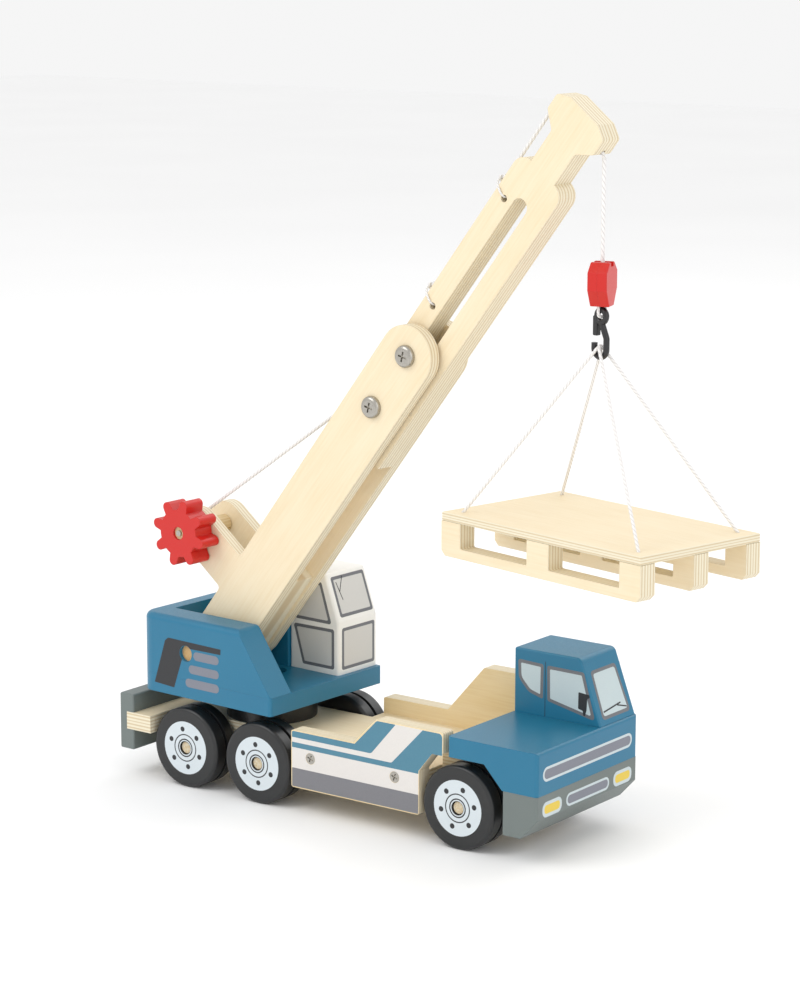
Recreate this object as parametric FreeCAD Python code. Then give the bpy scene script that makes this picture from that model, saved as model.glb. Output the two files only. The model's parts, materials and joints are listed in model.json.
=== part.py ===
"""Wooden toy crane truck: every piece of it as a closed solid in its own STEP file.

The truck is laid out about its front axle (x = 0, forward is +X, left is +Y, the ground is z = 0).
The upper works are laid out about the slew axis and turned to their rest heading.  The boom is laid
out along its own length (a) and depth (b) about its pivot and tilted to its rest angle.  The whole
model is finally moved so that its origin is the middle of its footprint, on the ground.
"""

import FreeCAD, Part
import math
import os
from FreeCAD import Vector

os.makedirs("parts", exist_ok=True)

# ---------------------------------------------------------------- driving dimensions (mm, degrees)
ply = 7.9                      # boom plates and boom layers
running_gap = 0.08             # radial, round piece turning in a hole
glue_gap = 0.05                # radial, round piece fixed in a hole
screw_gap = 0.1                # radial, screw in its hole

# chassis
half_width = 52.5              # hood, bumpers
deck_top = 41.0
deck_thickness = 11.0
deck_half_at_wheels = 29.0
deck_half_at_panels = 41.0
deck_front = 32.0
tail_front = -231.0            # front edge of the wide tail that carries the rear bumper
bumper_rear = -256.0
bumper_thickness = 11.2
bumper_bottom = 17.0
bumper_top = 52.5
bumper_slot_depth = 5.5
rail_thickness = 10.0
rail_half_outer = 28.4
rail_bottom = 17.5

# wheels
wheel_radius = 25.0
wheel_width = 19.5
wheel_outer_face = 50.5
wheel_edge_round = 2.2
groove_width = 2.4
groove_depth = 2.0
axle_radius = 4.0
axle_recess = 1.1
axle_stations = {"front": 0.0, "middle": -148.0, "rear": -204.5}

# side panels
panel_outer = 51.0
panel_rear = -121.0
panel_bottom = 15.9
panel_low_top = 51.2
panel_front = -10.0
panel_arch_rear = -27.0
panel_arch_low = 42.5
panel_arch_top_x = -17.4
panel_arch_top_z = 54.8
right_panel_rise = (-74.5, -57.8)      # x where the sloping edge starts and ends
right_panel_top = 67.9
left_panel_rise = (-72.3, -45.5)
left_panel_top = 81.6
panel_screw_stations = (-106.6, -44.6)
panel_screw_head_radius = 3.3
panel_screw_shank_radius = 1.6
panel_screw_length = 24.0

# hood, bumper and driver's cab
hood_rear = -5.9
hood_front = 55.8
hood_top = 67.2
hood_rear_bottom = 55.0
hood_front_bottom = 41.7
hood_slope = (19.4, 31.9)              # x where the underside slopes down
support_rear = -26.0
bumper_bottom_front = 44.9
bumper_low_front_z = 27.8
front_bumper_bottom = 15.9
cab_inner_side = 14.8
cab_top = 106.0
cab_front_top = 39.8
cab_front_bottom = 54.4

# slewing upper works, about the slew axis
slew_x = -176.6
slew_rest = -2.7               # heading at rest
disc_radius = 28.0
base_bottom = 56.9
base_thickness = 11.1
base_rear = -62.8
base_front = 44.8
base_half = 52.0
base_corner_round = 10.5
recess_radius = 9.0
recess_depth = 6.5
slew_screw_radius = 2.6
slew_screw_head_radius = 6.0
slew_screw_head_height = 3.2
slew_screw_bite = 8.0          # length held in the deck
wall_top = 106.0
near_wall = 19.0               # thickness
rear_wall = 12.3
far_wall_inner = 13.0
wall_slope_top = 18.5          # x where the front slope leaves the top
wall_edge_round = 4.0
op_cab_rear = 1.6
op_cab_front = 41.0
op_cab_knee = 101.5
op_cab_top = 130.6
op_cab_top_front = 30.6
op_cab_inner = 15.0

# boom, about its pivot
pivot_x = -24.0
pivot_z = 84.7
boom_y = -10.3                 # middle plane of the boom
boom_rest = 52.0               # elevation at rest
boom_depth = 37.0
boom_round_centre = 246.5
boom_foot_radius = 16.4
boom_foot_taper = 10.0
side_gap = 1.85                # between the sliding boom and each outer plate
pivot_radius = 4.95
pivot_recess = 2.5
winch_a = 48.0
winch_b = 54.8
winch_arm_width = 27.4
spacer_top = 72.8
spacer_depth = 33.0
bolt_stations = (206.7, 247.2)
bolt_radius = 2.5
bolt_head_radius = 6.6
bolt_head_height = 3.4

# sliding boom
inner_drop = -2.5              # its middle line, below the middle line of the outer plates
inner_bottom = 174.3
inner_shoulder = 378.0
slot_half = 5.25
slot_bottom = 190.5
slot_top = 366.5
neck_half = 10.0
neck_start = 390.5
neck_end = 408.5
head_half = 19.5
head_side_start = 416.0
head_side_end = 426.5
head_end = 430.5
head_end_half = 11.5
guide_stations = (199.8, 281.0, 362.2)
guide_hole_back = 4.0          # the hole is this far below its loop
guide_hole_radius = 2.1
guide_hole_b = 8.6
guide_cord_radius = 0.8

# winch
drum_radius = 5.5
journal_radius = 3.9
knob_radius = 20.8
knob_root_radius = 14.6
knob_teeth = 8
knob_tooth_width = 6.2
knob_tooth_taper = 1.6         # width at the middle over width at the tip
knob_thickness = 14.5
knob_phase = 31.0              # angle of one tooth above the horizontal at rest
knob_screw_head_radius = 1.8
knob_screw_head_height = 1.2
knob_screw_length = 10.0
knob_screw_shank_radius = 1.2
cap_radius = 7.0
cap_thickness = 3.0
winding_radius = 7.8
winding_length = 6.0
winding_inset = 1.2            # from the right plate
knob_play = 0.6
cap_play = 0.4

# hoist cord
cord_radius = 1.15
cord_b = 18.4                  # height of the hoist cord over the boom's middle line
cord_end_gap = 0.4             # between the cord's runs where they meet at an angle
winding_gap = 0.1
guide_lead = 1.6               # the cord lies along the boom from this far below its lowest loop
cord_bend = 3.6
channel_radius = 1.7
head_channel_a = 421.0
head_exit_a = 417.0
head_exit_b = -23.6
head_stub = 2.0                # cord between its last bend and its hanging length

# hook block
block_top = 341.2
block_height = 24.1
block_width = 22.0
block_thickness = 11.0
block_heading = 17.0
block_flat = 9.4
block_top_slope = 5.0
block_bottom_slope = 9.2
block_notch_half = 2.6
block_notch_depth = 2.4
pocket_radius = 4.2
pocket_depth = 6.5

# hook
hook_rod_radius = 1.75
hook_bottom_z = 288.9          # middle of the bar at the bottom of the bowl
hook_bowl_radius = 4.6
hook_bowl_x = -0.6
hook_tip_rise = 3.0
hook_shank_rise = 6.0
hook_eye_rise = 18.0
hook_eye_radius = 3.4
hook_latch_outer = 5.4
hook_latch_inner = 2.0
hook_latch_half = 1.7
hook_latch_length = 11.0
hook_cord_radius = 0.9
hook_cord_half = 2.7

# slings and pallet
pallet_length = 156.0
pallet_width = 93.0
pallet_board = 5.0
pallet_height = 25.0
pallet_top = 196.8
pallet_heading = -12.5
runner_thickness = 11.0
runner_window = 54.0           # length of each notch for the forks
runner_land = 15.5
runner_window_foot = 5.6
runner_window_round = 1.0
runner_chamfer = 3.0
sling_radius = 1.0
sling_bend = 3.0
sling_offset = 1.3             # each sling's crossing, from the middle of the hook's bowl
sling_peak_lean = 3.9          # how far the sling's two legs would cross beyond it
sling_peak_rise = 5.0
sling_inset_long = 9.5
sling_inset_short = 8.0
sling_bury = 3.5               # length of each leg held in the board

# ---------------------------------------------------------------- helpers
Y_AXIS = Vector(0, 1, 0)
Z_AXIS = Vector(0, 0, 1)
nodes = {}


def box(x0, x1, y0, y1, z0, z1):
    return Part.makeBox(x1 - x0, y1 - y0, z1 - z0, Vector(x0, y0, z0))


def rod(start, end, radius):
    along = end - start
    return Part.makeCylinder(radius, along.Length, start, along)


def cone(start, end, radius_start, radius_end):
    along = end - start
    return Part.makeCone(radius_start, radius_end, along.Length, start, along)


def prism_y(outline, y0, y1):
    """A closed outline of (x, z) points, as a plate between two y planes."""
    points = [Vector(x, y0, z) for x, z in outline]
    face = Part.Face(Part.makePolygon(points + points[:1]))
    return face.extrude(Vector(0, y1 - y0, 0))


def prism_z(outline, z0, z1):
    """A closed outline of (x, y) points, as a plate between two heights."""
    points = [Vector(x, y, z0) for x, y in outline]
    face = Part.Face(Part.makePolygon(points + points[:1]))
    return face.extrude(Vector(0, 0, z1 - z0))


def edges_along(shape, direction):
    """The straight edges of a shape that run along a direction."""
    found = []
    for edge in shape.Edges:
        if edge.Curve.TypeId == "Part::GeomLine":
            if abs(abs(edge.Curve.Direction.dot(direction)) - 1) < 1e-6:
                found.append(edge)
    return found


def all_of(shape, test):
    """The edges of a shape whose middle passes a test."""
    return [edge for edge in shape.Edges if test(edge.BoundBox.Center)]


def rounded_slot_y(x0, x1, z_middle, half, y0, y1):
    """A slot with round ends, cut along Y."""
    body = box(x0 + half, x1 - half, y0, y1, z_middle - half, z_middle + half)
    for x in (x0 + half, x1 - half):
        body = body.fuse(rod(Vector(x, y0, z_middle), Vector(x, y1, z_middle), half))
    return body.removeSplitter()


def slewed(shape):
    """From the upper works' own layout to the truck, at the rest heading."""
    moved = shape.copy()
    moved.rotate(Vector(0, 0, 0), Z_AXIS, slew_rest)
    moved.translate(Vector(slew_x, 0, 0))
    return moved


def tilted(shape):
    """From the boom's own layout (a along X, b along Z) to the truck, at the rest angle."""
    moved = shape.copy()
    moved.rotate(Vector(0, 0, 0), -Y_AXIS, boom_rest)
    moved.translate(Vector(pivot_x, 0, pivot_z))
    return slewed(moved)


def boom_point(a, b, y=boom_y):
    """A point of the boom's layout, in the upper works' layout."""
    angle = math.radians(boom_rest)
    x = pivot_x + a * math.cos(angle) - b * math.sin(angle)
    z = pivot_z + a * math.sin(angle) + b * math.cos(angle)
    return Vector(x, y, z)


def rounded_path(points, radii):
    """Straight runs joined by tangent arcs, one radius for each inner point."""
    edges = []
    start = points[0]
    for corner, after, radius in zip(points[1:-1], points[2:], radii):
        into = (corner - start).normalize()
        away = (after - corner).normalize()
        turn = into.getAngle(away)
        back = radius * math.tan(turn / 2)
        first = corner - into * back
        last = corner + away * back
        inward = (away - into).normalize()
        centre = corner + inward * (radius / math.cos(turn / 2))
        middle = centre - inward * radius
        edges.append(Part.LineSegment(start, first).toShape())
        edges.append(Part.Arc(first, middle, last).toShape())
        start = last
    edges.append(Part.LineSegment(start, points[-1]).toShape())
    return Part.Wire(edges)


def tube_along(wire, radius):
    start = wire.Edges[0]
    direction = start.tangentAt(start.FirstParameter)
    section = Part.Wire(Part.makeCircle(radius, start.valueAt(start.FirstParameter), direction))
    return wire.makePipeShell([section], True, False)


# ---------------------------------------------------------------- chassis
def make_deck():
    deck_bottom = deck_top - deck_thickness
    tail_rear = bumper_rear + bumper_thickness - bumper_slot_depth
    wheel_side = deck_half_at_wheels
    half = [
        (tail_rear, half_width),
        (tail_front, half_width),
        (tail_front, wheel_side),
        (panel_rear, wheel_side),
        (panel_rear, deck_half_at_panels),
        (panel_arch_rear, deck_half_at_panels),
        (panel_arch_rear, wheel_side),
        (deck_front, wheel_side),
    ]
    outline = half + [(x, -y) for x, y in reversed(half)]
    deck = prism_z(outline, deck_bottom, deck_top)
    middle = (deck_bottom + deck_top) / 2
    for x in panel_screw_stations:
        for side in (-1, 1):
            outer = Vector(x, side * panel_outer, middle)
            inner = Vector(x, side * (panel_outer - panel_screw_length), middle)
            deck = deck.cut(rod(outer, inner, panel_screw_shank_radius + screw_gap))
    pilot = rod(
        Vector(slew_x, 0, deck_top - slew_screw_bite),
        Vector(slew_x, 0, deck_top + 1),
        slew_screw_radius + screw_gap,
    )
    return deck.cut(pilot)


def make_rear_bumper():
    front = bumper_rear + bumper_thickness
    bumper = box(bumper_rear, front, -half_width, half_width, bumper_bottom, bumper_top)
    bumper = bumper.makeFillet(1.2, bumper.Edges)
    slot = box(
        front - bumper_slot_depth,
        front + 1,
        -half_width - 1,
        half_width + 1,
        deck_top - deck_thickness,
        deck_top,
    )
    return bumper.cut(slot)


def make_rail(side):
    """A beam under the deck that carries the axles."""
    top = deck_top - deck_thickness
    outline = [
        (tail_front, top),
        (tail_front + 8, rail_bottom),
        (deck_front - 6, rail_bottom),
        (deck_front, rail_bottom + 6),
        (deck_front, top),
    ]
    inner = side * (rail_half_outer - rail_thickness)
    outer = side * rail_half_outer
    rail = prism_y(outline, min(inner, outer), max(inner, outer))
    for x in axle_stations.values():
        hole = rod(
            Vector(x, -half_width, wheel_radius),
            Vector(x, half_width, wheel_radius),
            axle_radius + running_gap,
        )
        rail = rail.cut(hole)
    return rail


def make_side_panel(side, rise, top):
    outline = [
        (panel_rear, panel_bottom),
        (panel_arch_rear, panel_bottom),
        (panel_arch_rear, panel_arch_low),
        (panel_arch_top_x, panel_arch_top_z),
        (panel_front, panel_arch_top_z),
        (panel_front, top),
        (rise[1], top),
        (rise[0], panel_low_top),
        (panel_rear, panel_low_top),
    ]
    inner = side * deck_half_at_panels
    outer = side * panel_outer
    panel = prism_y(outline, min(inner, outer), max(inner, outer))
    panel = panel.makeFillet(1.5, edges_along(panel, Y_AXIS))
    middle = deck_top - deck_thickness / 2
    for x in panel_screw_stations:
        panel = panel.cut(panel_screw(x, side, middle, screw_gap))
    return panel


def panel_screw(x, side, z, gap=0.0):
    """A countersunk screw from the outer face of a panel into the deck's edge."""
    face = Vector(x, side * panel_outer, z)
    under_head = face - Vector(0, side * 3.0, 0)
    tip = face - Vector(0, side * panel_screw_length, 0)
    head = cone(face, under_head, panel_screw_head_radius + gap, panel_screw_shank_radius + gap)
    shank = rod(under_head, tip, panel_screw_shank_radius + gap)
    screw = head.fuse(shank)
    if gap:
        return screw
    drive = 0.9
    for turn in (0, 90):
        blade = box(x - 2.2, x + 2.2, -drive, drive, z - 0.4, z + 0.4)
        blade.rotate(Vector(x, 0, z), Y_AXIS, turn + 20)
        blade.translate(Vector(0, side * panel_outer, 0))
        screw = screw.cut(blade)
    return screw


def make_support_block():
    """The block between the deck and the hood."""
    return box(support_rear, deck_front, -deck_half_at_wheels, deck_half_at_wheels, deck_top, hood_rear_bottom)


def make_hood():
    outline = [
        (hood_rear, hood_rear_bottom),
        (hood_slope[0], hood_rear_bottom),
        (hood_slope[1], hood_front_bottom),
        (hood_front, hood_front_bottom),
        (hood_front, hood_top),
        (hood_rear, hood_top),
    ]
    hood = prism_y(outline, -half_width, half_width)
    top_front = all_of(hood, lambda c: c.x > hood_front - 0.1 and c.z > hood_top - 0.1)
    uprights = edges_along(hood, Z_AXIS)
    hood = hood.makeFillet(2.0, top_front + uprights)
    support = box(
        hood_rear - 1,
        deck_front,
        -deck_half_at_wheels,
        deck_half_at_wheels,
        deck_top,
        hood_rear_bottom,
    )
    return hood.cut(support)


def make_front_bumper():
    outline = [
        (deck_front, front_bumper_bottom),
        (bumper_bottom_front, front_bumper_bottom),
        (hood_front, bumper_low_front_z),
        (hood_front, hood_front_bottom),
        (deck_front, hood_front_bottom),
    ]
    bumper = prism_y(outline, -half_width, half_width)
    corners = edges_along(bumper, Z_AXIS)
    return bumper.makeFillet(1.5, corners)


def make_driver_cab():
    outline = [
        (hood_rear, hood_top),
        (cab_front_bottom, hood_top),
        (cab_front_top, cab_top),
        (hood_rear, cab_top),
    ]
    cab = prism_y(outline, cab_inner_side, half_width)
    top_front = all_of(cab, lambda c: c.z > cab_top - 0.1 and c.x > cab_front_top - 0.1)
    cab = cab.makeFillet(4.0, top_front)
    rest = all_of(cab, lambda c: c.z > hood_top + 0.1)
    return cab.makeFillet(1.2, rest)


# ---------------------------------------------------------------- wheels
def make_wheel(x, side):
    inner = side * (wheel_outer_face - wheel_width)
    outer = side * wheel_outer_face
    wheel = rod(Vector(x, inner, wheel_radius), Vector(x, outer, wheel_radius), wheel_radius)
    wheel = wheel.makeFillet(wheel_edge_round, wheel.Edges)
    middle = (inner + outer) / 2
    ring = rod(
        Vector(x, middle - groove_width / 2, wheel_radius),
        Vector(x, middle + groove_width / 2, wheel_radius),
        wheel_radius + 1,
    )
    core = rod(
        Vector(x, middle - groove_width, wheel_radius),
        Vector(x, middle + groove_width, wheel_radius),
        wheel_radius - groove_depth,
    )
    wheel = wheel.cut(ring.cut(core))
    bore = rod(
        Vector(x, inner - side, wheel_radius),
        Vector(x, outer + side, wheel_radius),
        axle_radius + glue_gap,
    )
    return wheel.cut(bore)


def make_axle(x):
    end = wheel_outer_face - axle_recess
    axle = rod(Vector(x, -end, wheel_radius), Vector(x, end, wheel_radius), axle_radius)
    return axle.makeChamfer(0.5, axle.Edges[:1] + axle.Edges[2:])


# ---------------------------------------------------------------- upper works
def base_outline_solid(z0, z1):
    """The base's plan shape: square front corners, round rear corners."""
    slab = box(base_rear, base_front, -base_half, base_half, z0, z1)
    rear = [edge for edge in edges_along(slab, Z_AXIS) if edge.BoundBox.Center.x < base_rear + 1]
    slab = slab.makeFillet(base_corner_round, rear)
    front = [edge for edge in edges_along(slab, Z_AXIS) if edge.BoundBox.Center.x > base_front - 1]
    return slab.makeFillet(2.0, front)


def make_disc():
    bottom = Vector(slew_x, 0, deck_top)
    top = Vector(slew_x, 0, base_bottom)
    disc = rod(bottom, top, disc_radius)
    return disc.cut(rod(bottom - Z_AXIS, top + Z_AXIS, slew_screw_radius + running_gap))


def make_base():
    top = base_bottom + base_thickness
    base = base_outline_solid(base_bottom, top)
    hole = rod(Vector(0, 0, base_bottom - 1), Vector(0, 0, top + 1), slew_screw_radius + running_gap)
    recess = rod(Vector(0, 0, top - recess_depth), Vector(0, 0, top + 1), recess_radius)
    return slewed(base.cut(hole).cut(recess))


def make_slew_screw():
    """A pan-head screw down through the base and the disc into the deck, on the slew axis."""
    seat = base_bottom + base_thickness - recess_depth
    shank = rod(Vector(slew_x, 0, deck_top - slew_screw_bite), Vector(slew_x, 0, seat), slew_screw_radius)
    head = rod(
        Vector(slew_x, 0, seat),
        Vector(slew_x, 0, seat + slew_screw_head_height),
        slew_screw_head_radius,
    )
    head = head.makeFillet(1.6, [edge for edge in head.Edges if edge.BoundBox.ZMin > seat + 1])
    return cross_cut(shank.fuse(head), Vector(slew_x, 0, seat + slew_screw_head_height), Z_AXIS)


def cross_cut(shape, at, axis):
    """A cross-shaped drive in a screw head."""
    length, width, depth = 6.0, 1.1, 1.4
    turn = FreeCAD.Rotation(Z_AXIS, axis)
    for angle in (25, 115):
        blade = Part.makeBox(length, width, 2 * depth, Vector(-length / 2, -width / 2, -depth))
        blade.rotate(Vector(0, 0, 0), Z_AXIS, angle)
        blade.Placement = FreeCAD.Placement(at, turn).multiply(blade.Placement)
        shape = shape.cut(blade)
    return shape


def make_housing():
    """The U of thick walls on the base: near wall, rear wall and far block."""
    bottom = base_bottom + base_thickness
    block = base_outline_solid(bottom, wall_top)
    slope = prism_y(
        [
            (base_front, bottom),
            (wall_slope_top, wall_top),
            (wall_slope_top, wall_top + 30),
            (base_front + 60, wall_top + 30),
            (base_front + 60, bottom),
        ],
        -base_half - 1,
        base_half + 1,
    )
    block = block.cut(slope)
    top_edges = all_of(block, lambda c: c.z > wall_top - 0.1)
    sloping = [
        edge
        for edge in block.Edges
        if abs(edge.BoundBox.ZLength - (wall_top - bottom)) < 1e-3 and edge.BoundBox.XLength > 5
    ]
    block = block.makeFillet(wall_edge_round, top_edges + sloping)
    bay = box(
        base_rear + rear_wall,
        base_front + 60,
        -base_half + near_wall,
        far_wall_inner,
        bottom - 1,
        wall_top + 10,
    )
    seat = box(op_cab_rear, base_front + 60, far_wall_inner - 1, base_half + 1, bottom - 1, wall_top + 10)
    block = block.cut(bay).cut(seat)
    return block.cut(pivot_rod(glue_gap))


def pivot_rod(gap=0.0):
    near_end = -base_half + pivot_recess - (pivot_recess + 1 if gap else 0)
    far_end = far_wall_inner + 12.0
    return rod(Vector(pivot_x, near_end, pivot_z), Vector(pivot_x, far_end, pivot_z), pivot_radius + gap)


def make_op_cab():
    bottom = base_bottom + base_thickness
    outline = [
        (op_cab_rear, bottom),
        (op_cab_front, bottom),
        (op_cab_front, op_cab_knee),
        (op_cab_top_front, op_cab_top),
        (op_cab_rear, op_cab_top),
    ]
    cab = prism_y(outline, op_cab_inner, base_half)
    return slewed(cab.makeFillet(1.8, all_of(cab, lambda c: c.z > bottom + 0.1)))


# ---------------------------------------------------------------- boom
boom_half = boom_depth / 2
gap_half = ply + side_gap                      # from the middle plane to an outer plate
plate_sides = {
    "right": (boom_y - gap_half - ply, boom_y - gap_half),
    "left": (boom_y + gap_half, boom_y + gap_half + ply),
}


def make_boom_plate(side, winch_hole_radius):
    """One Y-shaped plate: the boom, its round ends and the winch arm standing on its back."""
    y0, y1 = plate_sides[side]
    outline = [
        (0, -boom_foot_radius),
        (boom_foot_taper, -boom_half),
        (boom_round_centre, -boom_half),
        (boom_round_centre, boom_half),
        (winch_a + winch_arm_width / 2, boom_half),
        (winch_a + winch_arm_width / 2, winch_b),
        (winch_a - winch_arm_width / 2, winch_b),
        (winch_a - winch_arm_width / 2, boom_half),
        (boom_foot_taper, boom_half),
        (0, boom_foot_radius),
    ]
    plate = prism_y(outline, y0, y1)
    for a, b, radius in (
        (0, 0, boom_foot_radius),
        (boom_round_centre, 0, boom_half),
        (winch_a, winch_b, winch_arm_width / 2),
    ):
        plate = plate.fuse(rod(Vector(a, y0, b), Vector(a, y1, b), radius))
    plate = plate.removeSplitter()
    inner_corners = [
        edge
        for edge in edges_along(plate, Y_AXIS)
        if abs(edge.BoundBox.Center.z - boom_half) < 0.1
        and abs(abs(edge.BoundBox.Center.x - winch_a) - winch_arm_width / 2) < 0.1
    ]
    plate = plate.makeFillet(2.5, inner_corners)
    plate = plate.cut(rod(Vector(0, y0 - 1, 0), Vector(0, y1 + 1, 0), pivot_radius + running_gap))
    plate = plate.cut(rod(Vector(winch_a, y0 - 1, winch_b), Vector(winch_a, y1 + 1, winch_b), winch_hole_radius))
    for a in bolt_stations:
        plate = plate.cut(rod(Vector(a, y0 - 1, 0), Vector(a, y1 + 1, 0), bolt_radius + screw_gap))
    return tilted(plate)


def make_spacer():
    """The block that holds the two plates apart at the foot."""
    half = spacer_depth / 2
    y0, y1 = boom_y - gap_half, boom_y + gap_half
    block = box(0, spacer_top, y0, y1, -half, half)
    foot = rod(Vector(0, y0, 0), Vector(0, y1, 0), boom_foot_radius)
    block = block.common(box(0, spacer_top, y0, y1, -boom_foot_radius, boom_foot_radius)).fuse(foot)
    block = block.removeSplitter()
    return tilted(block.cut(rod(Vector(0, y0 - 1, 0), Vector(0, y1 + 1, 0), pivot_radius + running_gap)))


def make_bolt(a):
    """A pan-head bolt on the right, through both plates and the slot, to its cap nut on the left."""
    right = plate_sides["right"][0]
    left = plate_sides["left"][1]
    head = rod(Vector(a, right, 0), Vector(a, right - bolt_head_height, 0), bolt_head_radius)
    rim = [edge for edge in head.Edges if edge.BoundBox.YMax < right - 1]
    head = head.makeFillet(2.4, rim)
    head = cross_cut(head, Vector(a, right - bolt_head_height, 0), -Y_AXIS)
    shank = rod(Vector(a, right - 1, 0), Vector(a, left, 0), bolt_radius)
    return tilted(head.fuse(shank))


def make_cap_nut(a):
    left = plate_sides["left"][1]
    nut = rod(Vector(a, left, 0), Vector(a, left + bolt_head_height, 0), bolt_head_radius)
    rim = [edge for edge in nut.Edges if edge.BoundBox.YMin > left + 1]
    return tilted(nut.makeFillet(2.4, rim))


# ---------------------------------------------------------------- sliding boom
def inner_profile():
    """Half outline of the sliding boom about its own middle line, foot to head."""
    half = boom_half
    shoulder_round = half - neck_half
    right = [Vector(inner_bottom, 0, -half), Vector(inner_shoulder, 0, -half)]
    arc_middle = Vector(
        inner_shoulder + shoulder_round * math.sin(math.radians(45)),
        0,
        -half + shoulder_round * (1 - math.cos(math.radians(45))),
    )
    arc_end = Vector(inner_shoulder + shoulder_round, 0, -neck_half)
    rest = [
        Vector(neck_end, 0, -neck_half),
        Vector(head_side_start, 0, -head_half),
        Vector(head_side_end, 0, -head_half),
        Vector(head_end, 0, -head_end_half),
    ]
    return right, arc_middle, arc_end, rest


def mirrored(point):
    return Vector(point.x, point.y, -point.z)


def make_inner_layer(side):
    """One of the two glued layers of the sliding boom, with its slot, guide holes and cord channel."""
    right, arc_middle, arc_end, rest = inner_profile()
    lower = [right[0], right[1]]
    chain = [Part.LineSegment(lower[0], lower[1]).toShape()]
    chain.append(Part.Arc(right[1], arc_middle, arc_end).toShape())
    points = [arc_end] + rest + [mirrored(p) for p in reversed(rest)] + [mirrored(arc_end)]
    for start, end in zip(points, points[1:]):
        chain.append(Part.LineSegment(start, end).toShape())
    chain.append(Part.Arc(mirrored(arc_end), mirrored(arc_middle), mirrored(right[1])).toShape())
    chain.append(Part.LineSegment(mirrored(right[1]), mirrored(right[0])).toShape())
    chain.append(Part.LineSegment(mirrored(right[0]), right[0]).toShape())
    face = Part.Face(Part.Wire(chain))
    layer = face.extrude(Vector(0, side * ply, 0))
    head_corners = [
        edge for edge in edges_along(layer, Y_AXIS) if edge.BoundBox.Center.x > neck_end - 1
    ]
    layer = layer.makeFillet(2.5, head_corners)
    layer.translate(Vector(0, boom_y, inner_drop))
    y0, y1 = boom_y - ply - 1, boom_y + ply + 1
    layer = layer.cut(rounded_slot_y(slot_bottom, slot_top, inner_drop, slot_half, y0, y1))
    for a in guide_stations:
        hole_a = a - guide_hole_back
        layer = layer.cut(rod(Vector(hole_a, y0, guide_hole_b), Vector(hole_a, y1, guide_hole_b), guide_hole_radius))
    layer = tilted(layer)
    channel = tube_along(head_path(boom_point(guide_stations[-1], cord_b)), channel_radius)
    return layer.cut(slewed(channel))


def head_path(first):
    """The hoist cord along the back edge, through the head and out to its hanging line."""
    exit_point = boom_point(head_exit_a, head_exit_b)
    points = [
        first,
        boom_point(head_channel_a, cord_b),
        exit_point,
        exit_point - Z_AXIS * head_stub,
    ]
    return rounded_path(points, (cord_bend, cord_bend))


def make_guide_loop(a):
    """A loop of thin cord through a hole, round the board's back edge and over the hoist cord."""
    hole_a = a - guide_hole_back
    off = ply + guide_cord_radius + 0.05
    back = cord_b + cord_radius + guide_cord_radius + 0.1
    middle = Vector(hole_a, boom_y, guide_hole_b)
    corners = [
        middle,
        Vector(hole_a, boom_y - off, guide_hole_b),
        Vector(a, boom_y - off, back),
        Vector(a, boom_y + off, back),
        Vector(hole_a, boom_y + off, guide_hole_b),
        middle,
    ]
    path = rounded_path(corners, (1.0, 1.4, 1.4, 1.0))
    return tilted(tube_along(path, guide_cord_radius))


# ---------------------------------------------------------------- winch
def make_drum():
    """The turned dowel of the winch: a thick middle and two thinner ends."""
    right_outer, right_inner = plate_sides["right"]
    left_inner, left_outer = plate_sides["left"]
    knob_outer = right_outer - knob_play - knob_thickness
    middle = rod(
        Vector(winch_a, right_inner + 0.3, winch_b),
        Vector(winch_a, left_inner - 0.3, winch_b),
        drum_radius,
    )
    ends = rod(
        Vector(winch_a, knob_outer + 1.5, winch_b),
        Vector(winch_a, left_outer + cap_play + cap_thickness - 1.0, winch_b),
        journal_radius,
    )
    drum = middle.fuse(ends)
    pilot_tip = knob_outer + 12.0
    pilot = rod(
        Vector(winch_a, knob_outer, winch_b),
        Vector(winch_a, pilot_tip, winch_b),
        knob_screw_shank_radius + glue_gap,
    )
    return tilted(drum.cut(pilot))


def make_knob():
    """The toothed wheel that turns the winch."""
    outer = plate_sides["right"][0] - knob_play
    inner = outer - knob_thickness
    half = knob_tooth_width / 2
    tip_middle = knob_radius - half
    root_half = half * knob_tooth_taper
    flanks = [(0, -root_half), (tip_middle, -half), (tip_middle, half), (0, root_half)]
    knob = rod(Vector(0, inner, 0), Vector(0, outer, 0), knob_root_radius)
    for tooth in range(knob_teeth):
        tip = rod(Vector(tip_middle, inner, 0), Vector(tip_middle, outer, 0), half)
        shape = prism_y(flanks, inner, outer).fuse(tip)
        turn = 360 / knob_teeth * tooth + knob_phase - boom_rest
        shape.rotate(Vector(0, 0, 0), -Y_AXIS, turn)
        knob = knob.fuse(shape)
    knob = knob.removeSplitter()
    knob = knob.cut(rod(Vector(0, inner - 1, 0), Vector(0, outer + 1, 0), journal_radius + glue_gap))
    knob.translate(Vector(winch_a, 0, winch_b))
    return tilted(knob)


def make_knob_screw():
    """The screw in the end of the drum, inside the knob's hub."""
    face = plate_sides["right"][0] - knob_play - knob_thickness + 1.5
    head = rod(Vector(winch_a, face, winch_b), Vector(winch_a, face - knob_screw_head_height, winch_b), knob_screw_head_radius)
    shank = rod(Vector(winch_a, face, winch_b), Vector(winch_a, face + knob_screw_length, winch_b), knob_screw_shank_radius)
    return tilted(head.fuse(shank))


def make_end_cap():
    """The cap on the far end of the drum."""
    inner = plate_sides["left"][1] + cap_play
    cap = rod(Vector(winch_a, inner, winch_b), Vector(winch_a, inner + cap_thickness, winch_b), cap_radius)
    cap = cap.makeFillet(1.0, [edge for edge in cap.Edges if edge.BoundBox.YMin > inner + 1])
    bore = rod(
        Vector(winch_a, inner - 1, winch_b),
        Vector(winch_a, inner + cap_thickness - 1.0, winch_b),
        journal_radius + glue_gap,
    )
    return tilted(cap.cut(bore))


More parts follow.
